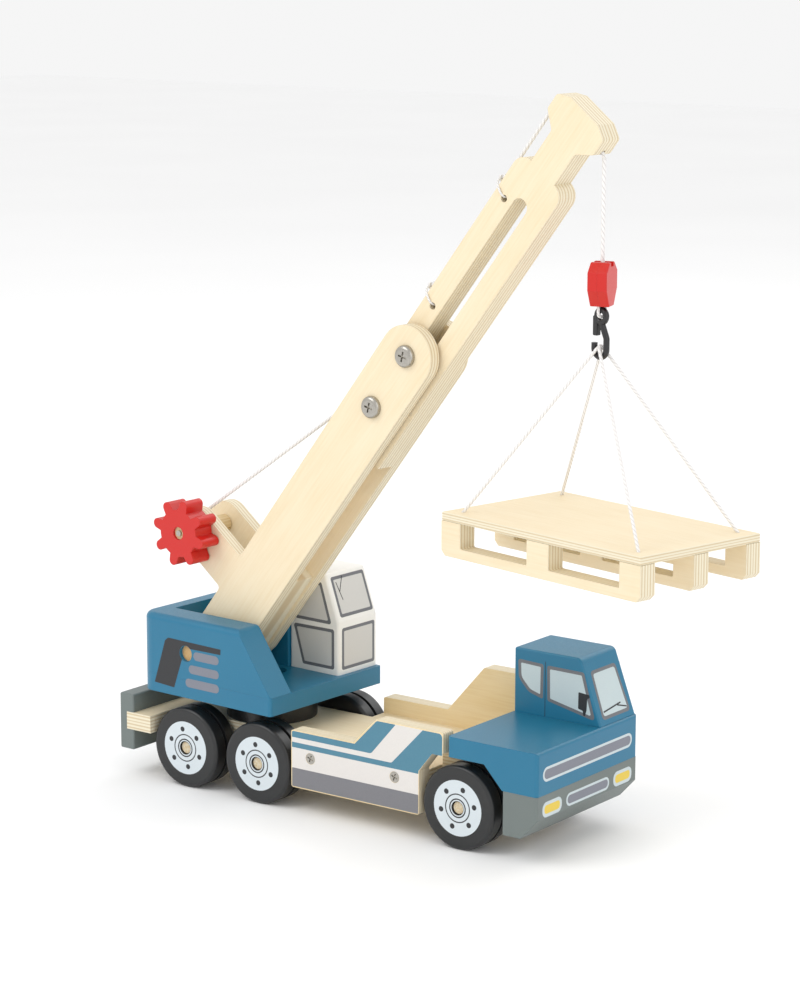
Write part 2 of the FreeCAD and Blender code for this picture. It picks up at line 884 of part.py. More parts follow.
def make_winding():
    """The cord wound on the drum, as one closed ring."""
    start = plate_sides["right"][1] + winding_inset
    ring = rod(
        Vector(winch_a, start, winch_b),
        Vector(winch_a, start + winding_length, winch_b),
        winding_radius,
    )
    ring = ring.makeFillet(1.4, ring.Edges)
    core = rod(
        Vector(winch_a, start - 1, winch_b),
        Vector(winch_a, start + winding_length + 1, winch_b),
        drum_radius + glue_gap,
    )
    return tilted(ring.cut(core))


# ---------------------------------------------------------------- cords
def guided_start():
    """Where the cord reaches the sliding boom's back, just below its lowest guide loop."""
    return boom_point(guide_stations[0] - guide_lead, cord_b)


def make_cord_run():
    """The hoist cord from the top of the winding to the lowest guide."""
    centre = boom_point(winch_a, winch_b, plate_sides["right"][1] + winding_inset + winding_length / 2)
    guide = guided_start()
    toward = Vector(guide.x - centre.x, 0, guide.z - centre.z)
    reach = winding_radius + cord_radius + winding_gap
    bearing = math.atan2(toward.z, toward.x) + math.acos(reach / toward.Length)
    start = centre + Vector(math.cos(bearing), 0, math.sin(bearing)) * reach
    end = guide + (start - guide).normalize() * cord_end_gap
    return slewed(rod(start, end, cord_radius))


def make_cord_guided():
    """The hoist cord along the sliding boom's back and through its head."""
    return slewed(tube_along(head_path(guided_start()), cord_radius))


def hang_point():
    """Where the hoist cord starts to hang freely, in the upper works' layout."""
    return boom_point(head_exit_a, head_exit_b) - Z_AXIS * head_stub


def on_line(shape, heading=0.0):
    """Move a piece laid out about the Z axis to the hoist's hanging line."""
    top = slewed(Part.Vertex(hang_point())).Point
    moved = shape.copy()
    moved.rotate(Vector(0, 0, 0), Z_AXIS, heading)
    moved.translate(Vector(top.x, top.y, 0))
    return moved


def make_cord_drop():
    top = slewed(Part.Vertex(hang_point())).Point
    return rod(Vector(top.x, top.y, block_top - block_notch_depth), top, cord_radius)


# ---------------------------------------------------------------- hook block
block_bottom = block_top - block_height
pocket_top = block_bottom + pocket_depth


def make_block_half(part):
    """Half of the hook block: an eight-sided slab, split across its thickness."""
    half = block_width / 2
    flat = block_flat / 2
    shoulder = block_top - block_top_slope
    waist = block_bottom + block_bottom_slope
    outline = [
        (-flat, block_bottom),
        (flat, block_bottom),
        (half, waist),
        (half, shoulder),
        (flat, block_top),
        (-flat, block_top),
        (-half, shoulder),
        (-half, waist),
    ]
    slab = prism_y(outline, min(0, part * block_thickness / 2), max(0, part * block_thickness / 2))
    slab = slab.makeFillet(0.6, all_of(slab, lambda c: abs(c.y) > 0.5))
    reach = block_thickness
    notch = box(
        -block_notch_half,
        block_notch_half,
        -reach,
        reach,
        block_top - block_notch_depth,
        block_top + 1,
    )
    pocket = rod(Vector(0, 0, block_bottom - 1), Vector(0, 0, pocket_top), pocket_radius)
    return on_line(slab.cut(notch).cut(pocket), block_heading - 90)


# ---------------------------------------------------------------- hook and load, about the hanging line
hook_bowl_centre_z = hook_bottom_z + hook_bowl_radius
hook_eye_z = hook_bowl_centre_z + hook_eye_rise


def make_hook():
    """A hook bent from one round bar, with a closed eye and a short flat latch."""
    r = hook_bowl_radius
    tip_x = hook_bowl_x - r
    shank_x = hook_bowl_x + r
    path = [
        Vector(tip_x, 0, hook_bowl_centre_z + hook_tip_rise),
        Vector(tip_x, 0, hook_bottom_z),
        Vector(shank_x, 0, hook_bottom_z),
        Vector(shank_x, 0, hook_bowl_centre_z + hook_shank_rise),
        Vector(0, 0, hook_eye_z - hook_eye_radius),
    ]
    bend = r - 0.05
    hook = tube_along(rounded_path(path, (bend, bend, bend)), hook_rod_radius)
    eye = Part.makeTorus(hook_eye_radius, hook_rod_radius, Vector(0, 0, hook_eye_z), Y_AXIS)
    latch = box(
        -hook_latch_outer,
        -hook_latch_inner,
        -hook_latch_half,
        hook_latch_half,
        hook_eye_z - hook_latch_length,
        hook_eye_z,
    )
    latch = latch.makeFillet(0.7, latch.Edges)
    return on_line(hook.fuse(eye).fuse(latch).removeSplitter(), pallet_heading)


def make_hook_cord():
    """The bight of cord that hangs the hook: up from the hook's eye into the block on both sides."""
    half = hook_cord_half
    points = [
        Vector(0, -half, pocket_top),
        Vector(0, -half, hook_eye_z),
        Vector(0, half, hook_eye_z),
        Vector(0, half, pocket_top),
    ]
    bend = half - 0.05
    return on_line(tube_along(rounded_path(points, (bend, bend)), hook_cord_radius), pallet_heading)


def sling_path(end):
    """One sling: from a corner of the pallet over the bowl of the hook to the corner across from it."""
    corner_x = end * (pallet_length / 2 - sling_inset_long)
    corner_y = pallet_width / 2 - sling_inset_short
    peak = Vector(
        hook_bowl_x + end * (sling_offset - sling_peak_lean),
        0,
        hook_bowl_centre_z + sling_peak_rise,
    )
    feet = []
    for side in (-1, 1):
        foot = Vector(corner_x, side * corner_y, pallet_top)
        feet.append(foot + (foot - peak).normalize() * sling_bury)
    return rounded_path([feet[0], peak, feet[1]], (sling_bend,))


def make_sling(end):
    return on_line(tube_along(sling_path(end), sling_radius), pallet_heading)


def make_pallet_board():
    half_l, half_w = pallet_length / 2, pallet_width / 2
    board = box(-half_l, half_l, -half_w, half_w, pallet_top - pallet_board, pallet_top)
    board = on_line(board.makeFillet(0.8, board.Edges), pallet_heading)
    for end in (-1, 1):
        hole = on_line(tube_along(sling_path(end), sling_radius + glue_gap), pallet_heading)
        board = board.cut(hole)
    return board


def make_runner(y):
    """A runner under the pallet, with two notches below the board and chamfered feet."""
    top = pallet_top - pallet_board
    bottom = pallet_top - pallet_height
    half_l = pallet_length / 2
    outline = [
        (-half_l + runner_chamfer, bottom),
        (half_l - runner_chamfer, bottom),
        (half_l, bottom + runner_chamfer),
        (half_l, top),
        (-half_l, top),
        (-half_l, bottom + runner_chamfer),
    ]
    runner = prism_y(outline, y - runner_thickness / 2, y + runner_thickness / 2)
    for direction in (-1, 1):
        outer = direction * (half_l - runner_land)
        inner = outer - direction * runner_window
        window = box(
            min(outer, inner),
            max(outer, inner),
            y - runner_thickness,
            y + runner_thickness,
            bottom + runner_window_foot,
            top + runner_window_foot,
        )
        window = window.makeFillet(runner_window_round, edges_along(window, Y_AXIS))
        runner = runner.cut(window)
    return on_line(runner, pallet_heading)


# ---------------------------------------------------------------- the pieces
nodes["chassis_deck"] = make_deck()
nodes["rear_bumper"] = make_rear_bumper()
nodes["front_bumper"] = make_front_bumper()
nodes["hood_block"] = make_hood()
nodes["hood_support_block"] = make_support_block()
nodes["driver_cab"] = make_driver_cab()
nodes["turntable_disc"] = make_disc()
nodes["slew_screw"] = make_slew_screw()
nodes["right_side_panel"] = make_side_panel(-1, right_panel_rise, right_panel_top)
nodes["left_side_panel"] = make_side_panel(1, left_panel_rise, left_panel_top)
for name, side in (("right", -1), ("left", 1)):
    nodes[name + "_axle_rail"] = make_rail(side)
    for place, x in zip(("rear", "front"), panel_screw_stations):
        nodes[name + "_panel_screw_" + place] = panel_screw(x, side, deck_top - deck_thickness / 2)
    for place, x in axle_stations.items():
        nodes[place + "_" + name + "_wheel"] = make_wheel(x, side)
for place, x in axle_stations.items():
    nodes[place + "_axle_dowel"] = make_axle(x)
nodes["superstructure_base"] = make_base()
nodes["superstructure_housing"] = slewed(make_housing())
nodes["operator_cab"] = make_op_cab()
nodes["boom_pivot_dowel"] = slewed(pivot_rod())
nodes["boom_plate_right"] = make_boom_plate("right", journal_radius + running_gap)
nodes["boom_plate_left"] = make_boom_plate("left", journal_radius + running_gap)
nodes["boom_spacer_block"] = make_spacer()
for place, a in zip(("lower", "upper"), bolt_stations):
    nodes[place + "_clamp_bolt"] = make_bolt(a)
    nodes[place + "_cap_nut"] = make_cap_nut(a)
nodes["inner_boom_right_layer"] = make_inner_layer(-1)
nodes["inner_boom_left_layer"] = make_inner_layer(1)
for place, a in zip(("lower", "middle", "upper"), guide_stations):
    nodes[place + "_cord_guide"] = make_guide_loop(a)
nodes["winch_drum"] = make_drum()
nodes["crank_knob"] = make_knob()
nodes["crank_knob_screw"] = make_knob_screw()
nodes["drum_end_cap"] = make_end_cap()
nodes["cord_winding"] = make_winding()
nodes["hoist_cord_run"] = make_cord_run()
nodes["hoist_cord_guided"] = make_cord_guided()
nodes["hoist_cord_drop"] = make_cord_drop()
nodes["hook_block_front_half"] = make_block_half(1)
nodes["hook_block_rear_half"] = make_block_half(-1)
nodes["crane_hook"] = make_hook()
nodes["hook_cord"] = make_hook_cord()
nodes["front_sling"] = make_sling(1)
nodes["rear_sling"] = make_sling(-1)
nodes["pallet_board"] = make_pallet_board()
runner_reach = (pallet_width - runner_thickness) / 2
for place, y in (("right", -runner_reach), ("middle", 0.0), ("left", runner_reach)):
    nodes[place + "_pallet_runner"] = make_runner(y)

# ---------------------------------------------------------------- origin, files and a printed summary
whole = Part.Compound(list(nodes.values())).optimalBoundingBox(False, False)
shift = Vector(-(whole.XMin + whole.XMax) / 2, -(whole.YMin + whole.YMax) / 2, -whole.ZMin)
for name, shape in nodes.items():
    shape.translate(shift)
    shape.exportStep("parts/" + name + ".step")
    print(name, "solids", len(shape.Solids), "valid", shape.isValid(), "volume", round(shape.Volume, 1))
print("moved by", [round(value, 4) for value in shift])
print("size", [round(value, 3) for value in (whole.XLength, whole.YLength, whole.ZLength)])
for label, point in (
    ("boom pivot", boom_point(0, 0)),
    ("winch axis", boom_point(winch_a, winch_b)),
    ("hang point", hang_point()),
):
    placed = slewed(Part.Vertex(point)).Point + shift
    print(label, [round(value, 3) for value in placed])
for name, radius in (
    ("hoist_cord_run", cord_radius),
    ("hoist_cord_guided", cord_radius),
    ("hoist_cord_drop", cord_radius),
    ("hook_cord", hook_cord_radius),
    ("front_sling", sling_radius),
    ("rear_sling", sling_radius),
):
    print(name, "radius", radius, "length", round(nodes[name].Volume / (math.pi * radius**2), 2))
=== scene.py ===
"""The looks of a wooden toy crane truck: printed panels, paint, plywood, screws and cord."""

import json
import logging
import math
from dataclasses import dataclass, field
from enum import Enum

import bpy
import numpy as np
from mathutils import Matrix, Vector


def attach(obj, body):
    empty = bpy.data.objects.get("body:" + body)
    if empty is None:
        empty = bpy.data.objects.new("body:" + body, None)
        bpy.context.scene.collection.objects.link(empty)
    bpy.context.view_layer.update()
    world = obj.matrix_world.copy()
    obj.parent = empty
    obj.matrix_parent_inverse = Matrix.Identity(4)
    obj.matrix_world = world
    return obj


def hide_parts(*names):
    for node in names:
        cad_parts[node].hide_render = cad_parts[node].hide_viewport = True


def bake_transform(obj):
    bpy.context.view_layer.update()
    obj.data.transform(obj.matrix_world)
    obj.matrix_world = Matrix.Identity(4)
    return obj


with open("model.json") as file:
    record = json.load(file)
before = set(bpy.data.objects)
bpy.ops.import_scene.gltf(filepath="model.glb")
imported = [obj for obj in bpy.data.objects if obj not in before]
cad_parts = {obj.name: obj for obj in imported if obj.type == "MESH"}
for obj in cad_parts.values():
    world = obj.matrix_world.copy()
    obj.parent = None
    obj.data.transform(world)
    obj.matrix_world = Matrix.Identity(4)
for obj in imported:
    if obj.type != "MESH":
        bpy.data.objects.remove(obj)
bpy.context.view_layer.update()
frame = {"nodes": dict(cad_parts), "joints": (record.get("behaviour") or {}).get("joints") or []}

log = logging.getLogger("toy_crane")
MM = 0.001

# Printing, in millimetres, and points on its curves.
INK_FILM = 0.035
INK_SUNK = 0.03
FRAME_WIDTH = 2.0
RING_POINTS = 48
HOLE_POINTS = 29
SLOT_STEPS = 8
SLOT_FLAT = 0.001

# How near a board's face, in millimetres, a point counts as the face and not the edge.
FACE_SKIN = 0.06

# A cord's section: its strands, and its mean radius and the depth of its grooves as shares.
STRANDS = 3
CREST = 0.93
GROOVE = 0.07
FEWEST_RINGS = 6
CURVE_STEPS = 24


# ------------------------------------------------------------------ colour and coordinates
def linear(code: str) -> tuple[float, float, float, float]:
    """Turns an sRGB hex colour into linear light.

    Args:
        code: six hex digits.

    Returns:
        Red, green, blue and an alpha of 1.
    """
    values = [int(code[i : i + 2], 16) / 255 for i in (0, 2, 4)]
    light = [v / 12.92 if v <= 0.04045 else ((v + 0.055) / 1.055) ** 2.4 for v in values]
    return (light[0], light[1], light[2], 1.0)


@dataclass(frozen=True)
class Axes:
    """A layout: an origin in metres and three unit directions, with its points in millimetres."""

    origin: tuple[float, float, float]
    x: tuple[float, float, float] = (1.0, 0.0, 0.0)
    y: tuple[float, float, float] = (0.0, 1.0, 0.0)
    z: tuple[float, float, float] = (0.0, 0.0, 1.0)

    def place(self, points: np.ndarray) -> np.ndarray:
        """Points of the layout in the row: origin plus each coordinate times its direction."""
        turn = np.array([self.x, self.y, self.z], float)
        return np.array(self.origin, float) + (np.asarray(points, float) * MM) @ turn

    def matrix(self) -> Matrix:
        """The rotation that takes the row's directions to the layout's."""
        return Matrix((self.x, self.y, self.z)).transposed()


ORIGIN = Axes((0.0, 0.0, 0.0))


def joint(name: str) -> dict:
    """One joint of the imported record."""
    return next(j for j in frame["joints"] if j["name"] == name)


def unit(vector: np.ndarray) -> np.ndarray:
    """A vector at length 1."""
    return vector / np.linalg.norm(vector)


def level_axes(origin: np.ndarray, forward: np.ndarray) -> Axes:
    """A layout whose x is forward and whose z is up."""
    ahead = unit(forward)
    aside = np.cross([0.0, 0.0, 1.0], ahead)
    return Axes(tuple(origin), tuple(ahead), tuple(aside), (0.0, 0.0, 1.0))


def pallet_forward() -> np.ndarray:
    """The long direction of the pallet: its heading, measured from straight ahead."""
    turn = math.radians(Load.heading)
    return np.array([math.cos(turn), math.sin(turn), 0.0])


# ------------------------------------------------------------------ surfaces
def mesh_piece(
    name: str, points: np.ndarray, faces: list, smooth: bool = False
) -> bpy.types.Object:
    """Makes a mesh object at the origin.

    Args:
        name: the piece's name.
        points: an array of points of the row, in metres.
        faces: lists of point numbers, turning anticlockwise seen from outside.
        smooth: whether the faces are shaded as one curved surface.

    Returns:
        The new object.
    """
    data = bpy.data.meshes.new(name)
    data.from_pydata(np.asarray(points, float).tolist(), [], faces)
    if smooth:
        data.polygons.foreach_set("use_smooth", np.ones(len(data.polygons), bool))
    data.validate()
    data.update()
    thing = bpy.data.objects.new(name, data)
    bpy.context.scene.collection.objects.link(thing)
    return thing


def grid_faces(rows: int, columns: int, close_rows: bool, close_columns: bool) -> list:
    """The quads of a grid of points numbered row by row."""
    i = np.arange(rows if close_rows else rows - 1)[:, None]
    j = np.arange(columns if close_columns else columns - 1)[None, :]
    below, right = (i + 1) % rows, (j + 1) % columns
    quads = [i * columns + j, below * columns + j, below * columns + right, i * columns + right]
    return np.stack(quads, -1).reshape(-1, 4).tolist()


def corner_frame(outline: np.ndarray) -> tuple[np.ndarray, ...]:
    """At each corner, the unit directions back, ahead and midway, and half the angle between.

    The angle is the arc cosine of the dot product of the first two.
    """
    back = np.roll(outline, 1, 0) - outline
    ahead = np.roll(outline, -1, 0) - outline
    back /= np.linalg.norm(back, axis=1, keepdims=True)
    ahead /= np.linalg.norm(ahead, axis=1, keepdims=True)
    middle = back + ahead
    middle /= np.linalg.norm(middle, axis=1, keepdims=True)
    half = np.arccos(np.clip((back * ahead).sum(1, keepdims=True), -1, 1)) / 2
    return back, ahead, middle, half


def rounded(corners: np.ndarray, radii: float | list[float], steps: int = 6) -> np.ndarray:
    """A closed outline with arcs for corners.

    Each corner gives way to an arc that touches both of its sides: it starts and ends the radius
    times the tangent of half the turn from the corner, and runs as a blend of the two sides.

    Args:
        corners: an array of 2-D corners.
        radii: one radius, or one for each corner.
        steps: points on each arc.

    Returns:
        The outline's points.
    """
    corners = np.asarray(corners, float)
    radius = np.broadcast_to(np.asarray(radii, float), len(corners))[:, None]
    back, ahead, middle, half = corner_frame(corners)
    reach = radius / np.tan(half)
    centre = corners + middle * radius / np.sin(half)
    first, last = corners + back * reach - centre, corners + ahead * reach - centre
    swing = (math.pi - 2 * half)[:, None]
    t = np.linspace(0, 1, steps)[None, :, None]
    arc = np.sin((1 - t) * swing) * first[:, None] + np.sin(t * swing) * last[:, None]
    return (centre[:, None] + arc / np.sin(swing)).reshape(-1, 2)


def inset(outline: np.ndarray, distance: float) -> np.ndarray:
    """A convex outline moved inwards.

    Each corner goes along the middle of its angle by the distance over the sine of half of it.
    """
    outline = np.asarray(outline, float)
    middle, half = corner_frame(outline)[2:]
    return outline + middle * distance / np.sin(half)


def slot_outline(
    x0: float, x1: float, y0: float, y1: float, radius: float | None = None
) -> np.ndarray:
    """A rectangle with round corners, or with round ends if no radius is given."""
    radius = (y1 - y0) / 2 - SLOT_FLAT if radius is None else radius
    return rounded(np.array([(x0, y0), (x1, y0), (x1, y1), (x0, y1)]), radius, SLOT_STEPS)


def pierced(
    outline: np.ndarray, after: int, floor: float, holes: list[tuple[float, float]], radius: float
) -> np.ndarray:
    """An outline with round holes, each reached from its bottom edge by a cut of no width.

    Each hole adds the point below it on the bottom edge, then a circle turning the other way,
    centre plus radius times (sin t, -cos t) for t from 0 down to minus one turn, and the first
    point again.

    Args:
        outline: points turning anticlockwise.
        after: how many of them come before the bottom edge.
        floor: height of the bottom edge.
        holes: centres, in order along the edge.
        radius: of every hole.

    Returns:
        The longer outline.
    """
    t = -np.linspace(0, 2 * math.pi, HOLE_POINTS)
    circle = np.stack([np.sin(t), -np.cos(t)], -1) * radius
    cuts = [np.vstack([[(x, floor)], circle + (x, y), [(x, floor)]]) for x, y in holes]
    return np.vstack([outline[:after], *cuts, outline[after:]])


@dataclass(frozen=True)
class Face:
    """A flat face that takes print: a layout, and two of its directions that run along it."""

    axes: Axes
    along: tuple[float, float, float]
    up: tuple[float, float, float]
    corner: tuple[float, float, float]

    def spread(self, outline: np.ndarray, height: float) -> np.ndarray:
        """Points of the face.

        They are the corner, plus each coordinate times its direction, plus the height outwards.
        """
        along, up = np.array(self.along, float), np.array(self.up, float)
        out = np.cross(along, up)
        flat = np.asarray(outline, float)
        points = np.array(self.corner, float) + flat[:, :1] * along + flat[:, 1:] * up + height * out
        return self.axes.place(points)


def side_face(axes: Axes, sign: int, y: float) -> tuple[Face, np.ndarray]:
    """A face on a side of the toy, and what its outlines are multiplied by to read forwards.

    Args:
        axes: the layout that the face belongs to.
        sign: -1 for a face that looks to the right, 1 for one that looks to the left.
        y: where the face stands.
    """
    return Face(axes, (-sign, 0, 0), (0, 0, 1), (0, y, 0)), np.array([float(-sign), 1.0])


@dataclass(frozen=True)
class Print:
    """A film of printing ink on a face."""

    name: str
    face: Face
    body: str
    slot: str
    sunk: float = INK_SUNK

    def ink(self, label: str, outline: np.ndarray, material: bpy.types.Material, layer: int = 1) -> None:
        """Lays one closed shape of ink.

        Args:
            label: what the shape is.
            outline: its 2-D points on the face, either way round.
            material: its finish.
            layer: 1 on the wood, 2 on the first ink, and so on.
        """
        outline = np.asarray(outline, float)
        following = np.roll(outline, -1, 0)
        if np.sum(outline[:, 0] * following[:, 1] - outline[:, 1] * following[:, 0]) < 0:
            outline = outline[::-1]
        count = len(outline)
        low, high = (self.face.spread(outline, h) for h in (-self.sunk, INK_FILM * layer))
        faces = [list(range(count - 1, -1, -1)), list(range(count, 2 * count))]
        i = np.arange(count)
        j = (i + 1) % count
        faces += np.stack([i, j, j + count, i + count], -1).tolist()
        self.finish(label, mesh_piece(f"{self.name}_{label}", np.vstack([low, high]), faces), material)

    def ring(
        self,
        label: str,
        centre: tuple[float, float],
        radii: tuple[float, float],
        material: bpy.types.Material,
        layer: int = 1,
    ) -> None:
        """Lays a ring of ink between two radii: four circles, low and high, inner and outer."""
        t = np.linspace(0, 2 * math.pi, RING_POINTS, endpoint=False)
        circle = np.stack([np.cos(t), np.sin(t)], -1)
        (inner, outer), top = radii, INK_FILM * layer
        edges = ((inner, top), (outer, top), (outer, -self.sunk), (inner, -self.sunk))
        middle = np.array(centre, float)
        loops = [self.face.spread(middle + circle * radius, height) for radius, height in edges]
        faces = grid_faces(len(edges), RING_POINTS, True, True)
        self.finish(label, mesh_piece(f"{self.name}_{label}", np.vstack(loops), faces), material)

    def finish(self, label: str, piece: bpy.types.Object, material: bpy.types.Material) -> None:
        """Gives the shape its finish and its body."""
        piece.data.materials.append(material)
        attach(piece, self.body)
        log.info("printed %s %s", self.name, label)


# ------------------------------------------------------------------ finishes
class Node:
    """Adds nodes to one material."""

    def __init__(self, name: str) -> None:
        """Starts an empty material with a shader and an output."""
        self.material = bpy.data.materials.new(name)
        self.material.use_nodes = True
        self.tree = self.material.node_tree
        self.tree.nodes.clear()
        self.shader = self.add("ShaderNodeBsdfPrincipled")
        output = self.add("ShaderNodeOutputMaterial")
        self.tree.links.new(self.shader.outputs[0], output.inputs[0])

    def add(self, kind: str, inputs: dict | None = None, **settings: object) -> bpy.types.Node:
        """Adds a node.

        Args:
            kind: the node's type.
            inputs: socket name or number to a value or to another node's output.
            settings: the node's own properties.

        Returns:
            The node.
        """
        node = self.tree.nodes.new(kind)
        for key, value in settings.items():
            setattr(node, key, value)
        for key, value in (inputs or {}).items():
            if isinstance(value, bpy.types.NodeSocket):
                self.tree.links.new(value, node.inputs[key])
            else:
                node.inputs[key].default_value = value
        return node

    def math(self, operation: str, *values: object) -> bpy.types.NodeSocket:
        """The output of a calculation on one, two or three values."""
        return self.add("ShaderNodeMath", dict(enumerate(values)), operation=operation).outputs[0]

    def mix(self, factor: object, one: object, other: object) -> bpy.types.NodeSocket:
        """The output of a colour mix."""
        return self.add("ShaderNodeMix", {0: factor, 6: one, 7: other}, data_type="RGBA").outputs[2]

    def local(self, axes: Axes) -> bpy.types.NodeSocket:
        """Coordinates in millimetres in a layout of the piece's own."""
        where = self.add("ShaderNodeTexCoord").outputs["Object"]
        inputs = {0: where, 1: axes.origin, 2: tuple(axes.matrix().to_euler()), 3: (MM, MM, MM)}
        return self.add("ShaderNodeMapping", inputs, vector_type="TEXTURE").outputs[0]

    def noise(self, where: bpy.types.NodeSocket, size: tuple, detail: float = 3.0) -> bpy.types.NodeSocket:
        """Noise whose features are about size millimetres along each direction."""
        scale = tuple(1 / value for value in size)
        stretched = self.add("ShaderNodeVectorMath", {0: where, 1: scale}, operation="MULTIPLY")
        inputs = {"Vector": stretched.outputs[0], "Scale": 1.0, "Detail": detail}
        return self.add("ShaderNodeTexNoise", inputs).outputs[0]

    def ramp(self, value: bpy.types.NodeSocket, low: float, high: float) -> bpy.types.NodeSocket:
        """Stretches a value so that low becomes 0 and high becomes 1."""
        return self.add("ShaderNodeMapRange", {0: value, 1: low, 2: high}).outputs[0]

    def bump(self, height: bpy.types.NodeSocket, depth_mm: float, soften_mm: float = 0.0) -> None:
        """Raises the surface by up to depth_mm, with its sharp edges broken by soften_mm."""
        inputs = {"Height": height, "Strength": 1.0, "Distance": depth_mm * MM}
        if soften_mm:
            inputs["Normal"] = self.add("ShaderNodeBevel", {0: soften_mm * MM}, samples=4).outputs[0]
        bumped = self.add("ShaderNodeBump", inputs)
        self.tree.links.new(bumped.outputs[0], self.shader.inputs["Normal"])

    def constants(self, **values: object) -> None:
        """Sets plain values on the shader's own sockets."""
        for key, value in values.items():
            self.shader.inputs[key.replace("_", " ")].default_value = value

    def link(self, socket: bpy.types.NodeSocket, name: str) -> None:
        """Joins an output to one of the shader's inputs."""
        self.tree.links.new(socket, self.shader.inputs[name])


class Grain(Enum):
    """Which way the boards of a layout are cut."""

    THICK_Y = "thickness along y"
    THICK_Z = "thickness along z"


@dataclass(frozen=True)
class BirchPly:
    """Sanded birch plywood: pale faces with fine short streaks, and edges striped by layers."""

    name: str
    axes: Axes
    grain: Grain
    middle: float
    thickness: float
    layers: int
    face: str = "EBDBBB"
    face_dark: str = "E3CEA6"
    edge: str = "E6DDC4"
    edge_dark: str = "CDB891"

    def build(self) -> bpy.types.Material:
        """Makes the material.

        The stripes are a cosine across the board that is lowest at both faces, so a face shows
        none of it; the face is where the distance from the board's middle is half its thickness.
        """
        n = Node(self.name)
        where = n.local(self.axes)
        split = n.add("ShaderNodeSeparateXYZ", {0: where})
        thick = split.outputs[1 if self.grain is Grain.THICK_Y else 2]
        depth = n.math("SUBTRACT", thick, self.middle)
        off = n.math("ABSOLUTE", depth)
        on_face = n.math("GREATER_THAN", off, self.thickness / 2 - FACE_SKIN)
        wander = n.math("MULTIPLY", n.noise(where, (60, 60, 60)), 0.25)
        period = self.thickness / self.layers
        phase = n.math("MULTIPLY", n.math("ADD", off, wander), 2 * math.pi / period)
        stripe = n.ramp(n.math("COSINE", phase), -0.1, 0.6)
        streaks = n.ramp(n.noise(where, (26, 1.2, 1.2), 4.0), 0.35, 0.7)
        cloud = n.ramp(n.noise(where, (45, 14, 14), 2.0), 0.3, 0.7)
        fibres = n.noise(where, (5, 0.35, 0.35), 2.0)
        face = n.mix(n.math("MULTIPLY", streaks, 0.55), linear(self.face), linear(self.face_dark))
        face = n.mix(n.math("MULTIPLY", cloud, 0.25), face, linear("F2E6CC"))
        edge = n.mix(stripe, linear(self.edge), linear(self.edge_dark))
        edge = n.mix(n.math("MULTIPLY", fibres, 0.3), edge, linear("F0E8D4"))
        n.link(n.mix(on_face, edge, face), "Base Color")
        n.link(n.ramp(fibres, -1.2, 1.8), "Roughness")
        n.constants(IOR=1.48)
        n.bump(n.math("ADD", fibres, n.math("MULTIPLY", stripe, -0.5)), 0.03, 0.35)
        return n.material


@dataclass(frozen=True)
class Dowel:
    """Turned hardwood dowel: long fine grain, and a speckled end."""

    name: str
    axes: Axes
    colour: str = "E2CFA8"

    def build(self) -> bpy.types.Material:
        """Makes the material: noise stretched along the dowel."""
        n = Node(self.name)
        where = n.local(self.axes)
        grain = n.ramp(n.noise(where, (0.8, 18, 0.8), 4.0), 0.3, 0.7)
        n.link(n.mix(grain, linear(self.colour), linear("C9AE7E")), "Base Color")
        n.constants(Roughness=0.55, IOR=1.48)
        n.bump(grain, 0.03)
        return n.material


@dataclass(frozen=True)
class Paint:
    """Sprayed satin enamel on sanded wood: even colour, a faint orange peel and fainter grain."""

    name: str
    colour: str
    worn: str
    axes: Axes
    roughness: float = 0.36

    def build(self) -> bpy.types.Material:
        """Makes the material.

        The colour drifts slowly over 40 mm; scuffs are the rare peaks of a 1.5 mm noise; the
        height is a 0.8 mm orange peel plus long grain.
        """
        n = Node(self.name)
        where = n.local(self.axes)
        drift = n.ramp(n.noise(where, (40, 40, 40), 2.0), 0.3, 0.7)
        scuff = n.ramp(n.noise(where, (1.5, 1.5, 1.5), 2.0), 0.74, 0.8)
        grain = n.noise(where, (30, 0.9, 0.9), 3.0)
        peel = n.noise(where, (0.8, 0.8, 0.8), 2.0)
        base = n.mix(n.math("MULTIPLY", drift, 0.12), linear(self.colour), linear(self.worn))
        n.link(n.mix(n.math("MULTIPLY", scuff, 0.6), base, linear(self.worn)), "Base Color")
        n.link(n.math("MULTIPLY_ADD", peel, 0.2, self.roughness - 0.1), "Roughness")
        n.constants(IOR=1.5)
        n.bump(n.math("ADD", n.math("MULTIPLY", grain, 0.8), peel), 0.035, 0.45)
        return n.material


@dataclass(frozen=True)
class Ink:
    """Screen-printed ink: flat colour with a fine stipple and a soft sheen."""

    name: str
    colour: str
    speck: str

    def build(self) -> bpy.types.Material:
        """Makes the material: a 0.7 mm stipple in colour and height."""
        n = Node(self.name)
        where = n.local(ORIGIN)
        stipple = n.ramp(n.noise(where, (0.7, 0.7, 0.7), 3.0), 0.35, 0.75)
        speckled = n.math("MULTIPLY", stipple, 0.22)
        n.link(n.mix(speckled, linear(self.colour), linear(self.speck)), "Base Color")
        n.constants(Roughness=0.5, IOR=1.5)
        n.bump(stipple, 0.02)
        return n.material


@dataclass(frozen=True)
class Plated:
    """Nickel-plated screw steel: bright, with faint turning marks."""

    name: str
    colour: str = "C9C6BE"

    def build(self) -> bpy.types.Material:
        """Makes the material: metal whose roughness and height vary over 0.5 mm."""
        n = Node(self.name)
        where = n.local(ORIGIN)
        marks = n.noise(where, (0.5, 0.5, 0.5), 3.0)
        n.link(n.mix(marks, linear(self.colour), linear("8F8A82")), "Base Color")
        n.link(n.ramp(marks, -0.6, 3.0), "Roughness")
        n.constants(Metallic=1.0)
        n.bump(marks, 0.03)
        return n.material


